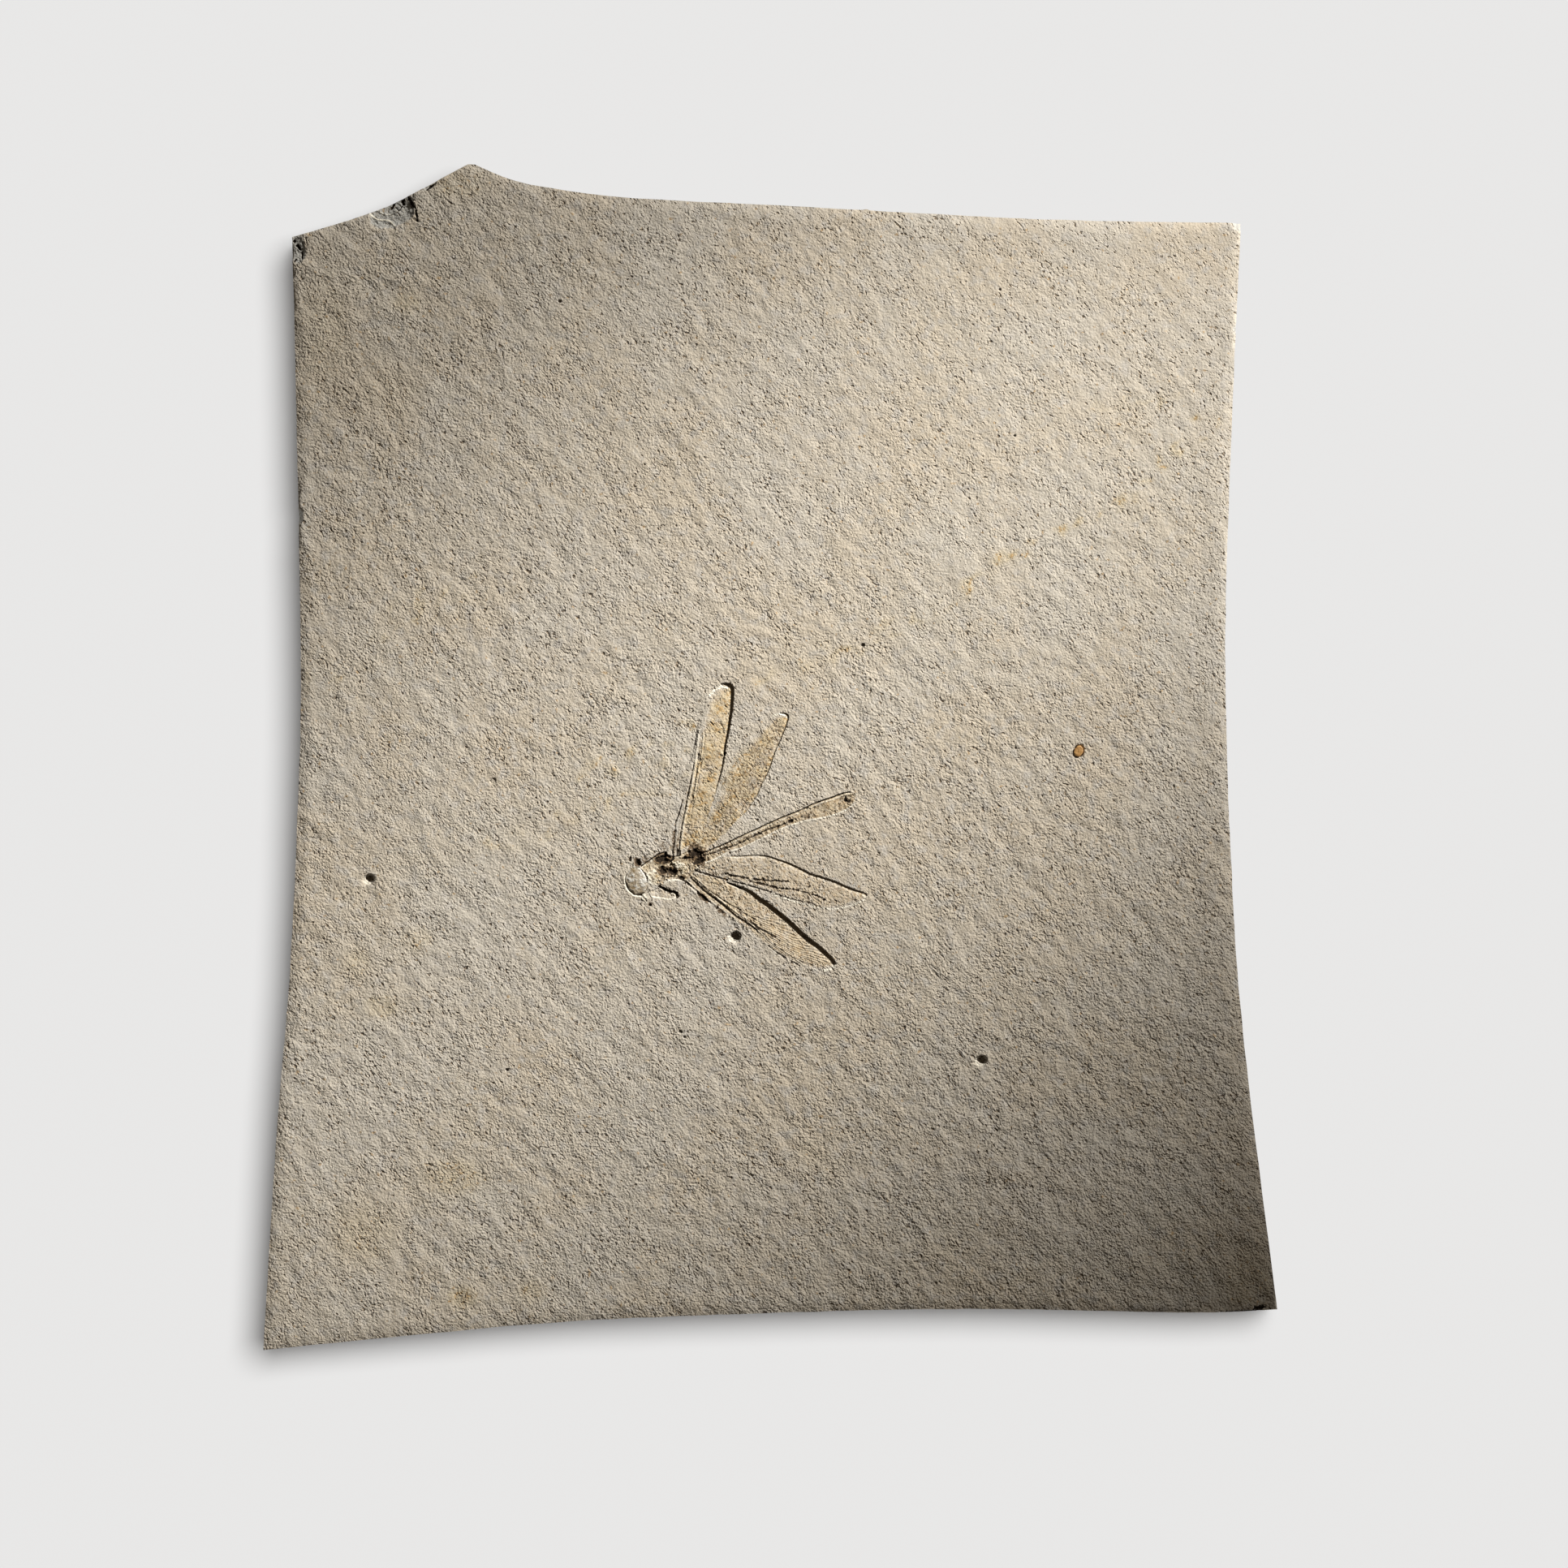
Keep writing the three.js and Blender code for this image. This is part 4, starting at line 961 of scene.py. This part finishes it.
laid = add(stone_grain, "ShaderNodeVectorMath",
           {0: swung, 1: (1, 1 / GRAIN_STRETCH, 1)}, operation="MULTIPLY").outputs[0]
lifted = add(stone_grain, "ShaderNodeVectorMath", {0: laid, 1: (0, 0, 0.31)},
             operation="ADD").outputs[0]


def group_noise(vector, scale_name, detail, roughness):
    return noise_value(stone_grain, vector, grain_in.outputs[scale_name], detail, roughness)


WAVE_HEIGHT = 1.15
SAND_HEIGHT = 0.4
BUSY_SAND = 0.35           # how much higher the sand is in a busy zone
BUSY_PITS = 0.09           # and how much lower the bar for its pits
busy = stepped(stone_grain, group_noise(laid, "Zone Scale", 3.0, 0.65), 0.33, 0.67)
waves = times(stone_grain, group_noise(laid, "Wave Scale", 1.5, 0.6), WAVE_HEIGHT)
sand = math_node(stone_grain, "SUBTRACT", group_noise(swung, "Sand Scale", 1.3, 0.6), 0.5)
sand_height = math_node(stone_grain, "ADD", SAND_HEIGHT, times(stone_grain, busy, BUSY_SAND))
holes = group_noise(lifted, "Pit Scale", 1.5, 0.6)
thicker = times(stone_grain, math_node(stone_grain, "SUBTRACT", busy, 0.5), BUSY_PITS)
pits = stepped(stone_grain, math_node(stone_grain, "ADD", holes, thicker), 0.58, 0.77)
height_sum = math_node(stone_grain, "ADD", waves, times(stone_grain, sand, sand_height))
height_sum = math_node(stone_grain, "SUBTRACT", height_sum,
                       times(stone_grain, pits, grain_in.outputs["Pit Depth"]))
stone_grain.links.new(height_sum, grain_out.inputs["Height"])
stone_grain.links.new(pits, grain_out.inputs["Dirt And Shade"])

PALE_STONE = (0.59, 0.527, 0.43, 1)
WARM_STONE = (0.59, 0.503, 0.382, 1)
GREY_STONE = (0.54, 0.49, 0.417, 1)
FRESH_STONE = (0.44, 0.43, 0.39, 1)
SIDE_BROWN = (0.40, 0.32, 0.22, 1)
IRON_TAN = (0.62, 0.50, 0.31, 1)
IRON_ORANGE = (0.46, 0.27, 0.09, 1)
WING_TAN = (0.575, 0.45, 0.285, 1)
FILM_BROWN = (0.33, 0.20, 0.09, 1)
MOULD_AND_SHADE_BROWN = (0.12, 0.065, 0.024, 1)
DIRT_AND_SHADE_BROWN = (0.20, 0.13, 0.065, 1)
SOOT_AND_SHADOW_BROWN = (0.030, 0.019, 0.010, 1)
CRUST_AND_HIGHLIGHT_CREAM = (0.85, 0.78, 0.63, 1)
GRAIN_RELIEF = 0.00048
VEIN_RELIEF = 0.1          # in heights of the grain
BED_RELIEF = 3.0

tree, place = new_material(limestone_slab, "limestone")
grain = add(tree, "ShaderNodeGroup", node_tree=stone_grain)
tree.links.new(place, grain.inputs["Vector"])


def mask_value(name):
    return add(tree, "ShaderNodeAttribute", attribute_name=name).outputs["Fac"]


def mottled(mask, scale, breakup, low, high):
    """A mask that a noise breaks up into specks where it is neither full nor empty."""
    specks = noise_value(tree, place, scale, 3.0)
    shift = times(tree, math_node(tree, "SUBTRACT", specks, 0.5), breakup)
    return stepped(tree, math_node(tree, "ADD", mask, shift), low, high)


patches = noise_value(tree, place, 45.0, 4.0)
colour = blend_colours(tree, stepped(tree, patches, 0.3, 0.7), PALE_STONE, WARM_STONE)
fine_patches = noise_value(tree, place, 420.0, 3.0)
colour = blend_colours(tree, stepped(tree, fine_patches, 0.45, 0.75), colour, GREY_STONE)
colour = blend_colours(tree, times(tree, mask_value("broken"), 0.8), colour, FRESH_STONE)
side = mask_value("side")
flat_place = add(tree, "ShaderNodeVectorMath", {0: place, 1: (0.12, 0.12, 1.0)},
                 operation="MULTIPLY").outputs[0]
beds = noise_value(tree, flat_place, 800.0, 5.0, 0.68)
colour = blend_colours(tree, times(tree, side, stepped(tree, beds, 0.36, 0.66)), colour,
                       SIDE_BROWN)
film = mottled(mask_value("wing_film"), 1500.0, 1.7, 0.05, 1.15)
colour = blend_colours(tree, times(tree, film, 0.9), colour, WING_TAN)
flecks = stepped(tree, noise_value(tree, place, 1150.0, 2.0), 0.5, 0.72)
flecks = times(tree, mask_value("wing_film"), flecks)
colour = blend_colours(tree, times(tree, flecks, 0.75), colour, FILM_BROWN)
# Painted highlights on slopes that face the light, together with the real cream crust.
crust_and_highlight = mottled(mask_value("crust_and_highlight"), 1500.0, 0.3, 0.1, 0.8)
colour = blend_colours(tree, crust_and_highlight, colour, CRUST_AND_HIGHLIGHT_CREAM)
spread = mottled(mask_value("iron"), 420.0, 0.9, 0.12, 0.8)
colour = blend_colours(tree, times(tree, spread, 0.7), colour, IRON_TAN)
beads = mottled(mask_value("iron"), 1300.0, 2.4, 0.62, 1.0)
colour = blend_colours(tree, times(tree, beads, 0.7), colour, IRON_ORANGE)
ochre = stepped(tree, noise_value(tree, place, 850.0, 2.0), 0.66, 0.76)
colour = blend_colours(tree, times(tree, ochre, 0.6), colour, IRON_ORANGE)
# Mould specks, with painted shadow on the thorax and along the right hind wing's lower edge.
mould_and_shade = mottled(mask_value("mould_and_shade"), 1900.0, 1.5, 0.3, 0.6)
colour = blend_colours(tree, times(tree, mould_and_shade, 0.85), colour, MOULD_AND_SHADE_BROWN)
# Painted shadow of the imprint's edges, grooves, hairline and pits, with its dark remains.
soot_and_shadow = mottled(mask_value("soot_and_shadow"), 2200.0, 1.0, 0.36, 0.62)
colour = blend_colours(tree, soot_and_shadow, colour, SOOT_AND_SHADOW_BROWN)
# Pits are painted dark brown, as dirt and as their shadow, less so on the sides.
pit_darkening = math_node(tree, "SUBTRACT", 0.72, times(tree, side, 0.5))
dirt_and_shade = times(tree, grain.outputs["Dirt And Shade"], pit_darkening)
colour = blend_colours(tree, dirt_and_shade, colour, DIRT_AND_SHADE_BROWN)
veins = math_node(tree, "COSINE", times(tree, mask_value("vein_phase"), math.tau))
veins = times(tree, veins, times(tree, mask_value("vein_strength"), VEIN_RELIEF))
surface = times(tree, grain.outputs["Height"], mask_value("coarse"))
surface = math_node(tree, "ADD", surface, veins)
surface = math_node(tree, "ADD", surface, times(tree, side, times(tree, beds, BED_RELIEF)))
relief = add(tree, "ShaderNodeBump", {"Height": surface, "Distance": GRAIN_RELIEF,
                                      "Strength": 1.0})
shader = add(tree, "ShaderNodeBsdfPrincipled", {"Base Color": colour, "Roughness": 0.93,
                                                "Specular IOR Level": 0.25,
                                                "Normal": relief.outputs[0]})
add(tree, "ShaderNodeOutputMaterial", {"Surface": shader.outputs[0]})

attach(limestone_slab, "root")
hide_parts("limestone_slab")

# ------------------------------------------------------------------ head calcite
# The hollow of the insect's head is filled with calcite, a cloudy cream and brown crystal that
# stands a little proud of the face. Its flat sides leave small gaps to the stone here and there,
# and a hairline is open at its lower left.
CRYSTAL_RUN = 1.09                  # its radii before the cuts, as a share of the socket's
WAIST = 0.05                        # how far below the face it is widest
CROWN = 0.42                        # how far it rises from there
ROOT = 1.3                          # and how far it goes down
FACET_CUTS = 34
FACET_LEAN = (0.15, 0.95)
SIDE_CUTS = 7                       # planes that give it a cornered outline
SIDE_CUT_LEAN = (1.35, 1.55)
CUT_PLACE = (0.85, 0.96)            # how far out the planes lie, in radii
LONG_EDGE = 0.12
CRYSTAL_LUMPS = 0.03


def set_down(place, turn, x, y, z):
    """A mineral's corner, turned and moved to the mineral's place on the slab."""
    cosine, sine = math.cos(turn), math.sin(turn)
    return Vector((place[0] + x * cosine - y * sine, place[1] + x * sine + y * cosine, z)) * MM


pick = random.Random(7)
crystal = bmesh.new()
bmesh.ops.create_icosphere(crystal, subdivisions=4, radius=1.0)
for cut in range(FACET_CUTS + SIDE_CUTS):
    turn = pick.uniform(0, math.tau)
    lean = pick.uniform(*FACET_LEAN)
    if cut >= FACET_CUTS:
        turn = math.tau * (cut - FACET_CUTS + pick.uniform(0.2, 0.8)) / SIDE_CUTS
        lean = pick.uniform(*SIDE_CUT_LEAN)
    facing = Vector((math.cos(turn) * math.sin(lean), math.sin(turn) * math.sin(lean),
                     math.cos(lean)))
    whole = crystal.verts[:] + crystal.edges[:] + crystal.faces[:]
    trimmed = bmesh.ops.bisect_plane(crystal, geom=whole,
                                     plane_co=facing * pick.uniform(*CUT_PLACE),
                                     plane_no=facing, clear_outer=True)
    rim = [part for part in trimmed["geom_cut"] if isinstance(part, bmesh.types.BMEdge)]
    bmesh.ops.holes_fill(crystal, edges=rim)
bmesh.ops.triangulate(crystal, faces=crystal.faces)
long_edges = [edge for edge in crystal.edges if edge.calc_length() > LONG_EDGE]
bmesh.ops.subdivide_edges(crystal, edges=long_edges, cuts=3, use_grid_fill=True)
bmesh.ops.triangulate(crystal, faces=crystal.faces)
for vert in crystal.verts:
    vert.co += vert.co.normalized() * CRYSTAL_LUMPS * noise.fractal(vert.co * 4.0, 1.0, 2.0, 3)
    x = vert.co.x * HEAD_RADII[0] * CRYSTAL_RUN
    y = vert.co.y * HEAD_RADII[1] * CRYSTAL_RUN
    z = TOP - WAIST + vert.co.z * (CROWN if vert.co.z > 0 else ROOT)
    vert.co = set_down(HEAD_PLACE, HEAD_TURN, x, y, z)
bmesh.ops.recalc_face_normals(crystal, faces=crystal.faces)
head_calcite = new_object("head_calcite_crystal", crystal)

CALCITE_CLEAR = (0.60, 0.50, 0.36, 1)
CALCITE_WHITE = (0.90, 0.84, 0.72, 1)
CALCITE_BROWN = (0.38, 0.27, 0.14, 1)
CALCITE_RELIEF = 0.0005
tree, place = new_material(head_calcite, "calcite")
clouds = noise_value(tree, place, 1500.0, 6.0)
smoke = stepped(tree, noise_value(tree, place, 700.0, 4.0), 0.46, 0.72)
colour = blend_colours(tree, smoke, CALCITE_CLEAR, CALCITE_BROWN)
milky = stepped(tree, times(tree, clouds, noise_value(tree, place, 420.0, 1.0)), 0.21, 0.3)
colour = blend_colours(tree, milky, colour, CALCITE_WHITE)
relief = add(tree, "ShaderNodeBump", {"Height": clouds, "Distance": CALCITE_RELIEF,
                                      "Strength": 0.7})
shader = add(tree, "ShaderNodeBsdfPrincipled", {
    "Base Color": colour, "Roughness": 0.35, "IOR": 1.58, "Transmission Weight": 0.25,
    "Normal": relief.outputs[0]})
add(tree, "ShaderNodeOutputMaterial", {"Surface": shader.outputs[0]})
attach(head_calcite, "root")
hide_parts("head_calcite")

# ------------------------------------------------------------------ limonite grain
# A grain of iron oxide no bigger than a sesame seed, sunk in the face with its flat top standing
# just out of it.
PEBBLE_LUMPS = 0.12
FLAT_TOP = 0.5                      # as a share of its radius
PEBBLE_SUNK = 0.1                   # how far below the face it is widest
PEBBLE_TALL = 0.6                   # its half height
pebble = bmesh.new()
bmesh.ops.create_icosphere(pebble, subdivisions=4, radius=1.0)
for vert in pebble.verts:
    vert.co += vert.co.normalized() * PEBBLE_LUMPS * noise.fractal(vert.co * 1.8, 1.0, 2.0, 4)
    vert.co.z = min(vert.co.z, FLAT_TOP + 0.1 * noise.noise(vert.co * 3))
    x = vert.co.x * LIMONITE_RADII[0]
    y = vert.co.y * LIMONITE_RADII[1]
    z = TOP - PEBBLE_SUNK + vert.co.z * PEBBLE_TALL
    vert.co = set_down(LIMONITE_PLACE, LIMONITE_TURN, x, y, z)
for face in pebble.faces:
    face.smooth = True
limonite_grain = new_object("limonite_grain_pebble", pebble)

RUST_DARK = (0.30, 0.13, 0.03, 1)
RUST_LIGHT = (0.62, 0.36, 0.13, 1)
RUST_RELIEF = 0.0001
tree, place = new_material(limonite_grain, "limonite")
rust = noise_value(tree, place, 1500.0, 4.0)
colour = blend_colours(tree, rust, RUST_DARK, RUST_LIGHT)
relief = add(tree, "ShaderNodeBump", {"Height": rust, "Distance": RUST_RELIEF,
                                      "Strength": 0.7})
shader = add(tree, "ShaderNodeBsdfPrincipled", {"Base Color": colour, "Roughness": 0.5,
                                                "Normal": relief.outputs[0]})
add(tree, "ShaderNodeOutputMaterial", {"Surface": shader.outputs[0]})
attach(limonite_grain, "root")
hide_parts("limonite_grain")

# ------------------------------------------------------------------ floor and lights
# A pale table top. The key is two small overlapping beams from one place, far off to the upper
# right and low over the face, so that the fine relief shows. The table has a softer lamp.
FLOOR_SIZE = 3.0
FLOOR_DROP = 0.00005
floor_sheet = bmesh.new()
bmesh.ops.create_grid(floor_sheet, x_segments=1, y_segments=1, size=FLOOR_SIZE)
bmesh.ops.translate(floor_sheet, verts=floor_sheet.verts, vec=(0, 0, -FLOOR_DROP))
floor = new_object("floor", floor_sheet)
tree, _ = new_material(floor, "pale_table")
shader = add(tree, "ShaderNodeBsdfPrincipled", {"Base Color": (0.8, 0.8, 0.8, 1),
                                                "Roughness": 0.9})
add(tree, "ShaderNodeOutputMaterial", {"Surface": shader.outputs[0]})
limestone_slab.visible_diffuse = False      # the table takes no light thrown back by the stone

KEY_HEADING = math.radians(41)      # measured from +X towards +Y
KEY_ELEVATION = math.radians(25)
KEY_DISTANCE = 1.45
KEY_RADIUS = 0.010
KEY_MIDDLE = Vector((-0.015, 0.010, TOP * MM))
KEY_CONES = {
    "upper_beam": ((-0.0588, 0.0428), math.radians(14.6), 106.0),
    "lower_beam": ((0.0072, -0.0308), math.radians(12.2), 86.0),
}


def lamp(name, kind, energy, heading, elevation, distance, middle):
    """A lamp some way off from a middle, turned towards it."""
    data = bpy.data.lights.new(name, kind)
    data.energy = energy
    made = bpy.data.objects.new(name, data)
    scene.collection.objects.link(made)
    towards = Vector((math.cos(heading) * math.cos(elevation),
                      math.sin(heading) * math.cos(elevation), math.sin(elevation)))
    made.location = middle + towards * distance
    made.rotation_euler = towards.to_track_quat("Z", "Y").to_euler()
    return made


def only_lights(lamp_object, name, lit):
    """Keeps a lamp's light on the listed objects."""
    group = bpy.data.collections.new(name)
    for thing in lit:
        group.objects.link(thing)
    lamp_object.light_linking.receiver_collection = group


for name, (aim, cone, power) in KEY_CONES.items():
    key = lamp(name, "SPOT", power, KEY_HEADING, KEY_ELEVATION, KEY_DISTANCE, KEY_MIDDLE)
    away = key.location - Vector((*aim, TOP * MM))
    key.rotation_euler = away.to_track_quat("Z", "Y").to_euler()
    key.data.spot_size = cone
    key.data.spot_blend = 1.0
    key.data.shadow_soft_size = KEY_RADIUS
    only_lights(key, f"lit_by_{name}", [limestone_slab, head_calcite, limonite_grain])

TABLE_LIGHT_POWER = 3.3
TABLE_LIGHT_ELEVATION = math.radians(68)
TABLE_LIGHT_WIDTH = math.radians(44)
table_light = lamp("table_light", "SUN", TABLE_LIGHT_POWER, KEY_HEADING, TABLE_LIGHT_ELEVATION,
                   1.0, Vector())
table_light.data.angle = TABLE_LIGHT_WIDTH
only_lights(table_light, "lit_by_table_light", [floor])

# A dim warm room gives the shadows a little light. Where the camera sees past the table, the room
# looks as pale as the table.
ROOM_GLOW = 0.035
ROOM_PALE = 0.81
ROOM_WARM = (1.0, 0.8, 0.58, 1)
WHITE = (1.0, 1.0, 1.0, 1)
world = bpy.data.worlds.new("studio")
scene.world = world
world.use_nodes = True
sky = world.node_tree
seen = add(sky, "ShaderNodeLightPath").outputs["Is Camera Ray"]
glow = sky.nodes["Background"]
tint = blend_colours(sky, seen, ROOM_WARM, WHITE)
sky.links.new(tint, glow.inputs["Color"])
strength = add(sky, "ShaderNodeMapRange",
               {"Value": seen, "To Min": ROOM_GLOW, "To Max": ROOM_PALE})
sky.links.new(strength.outputs["Result"], glow.inputs["Strength"])
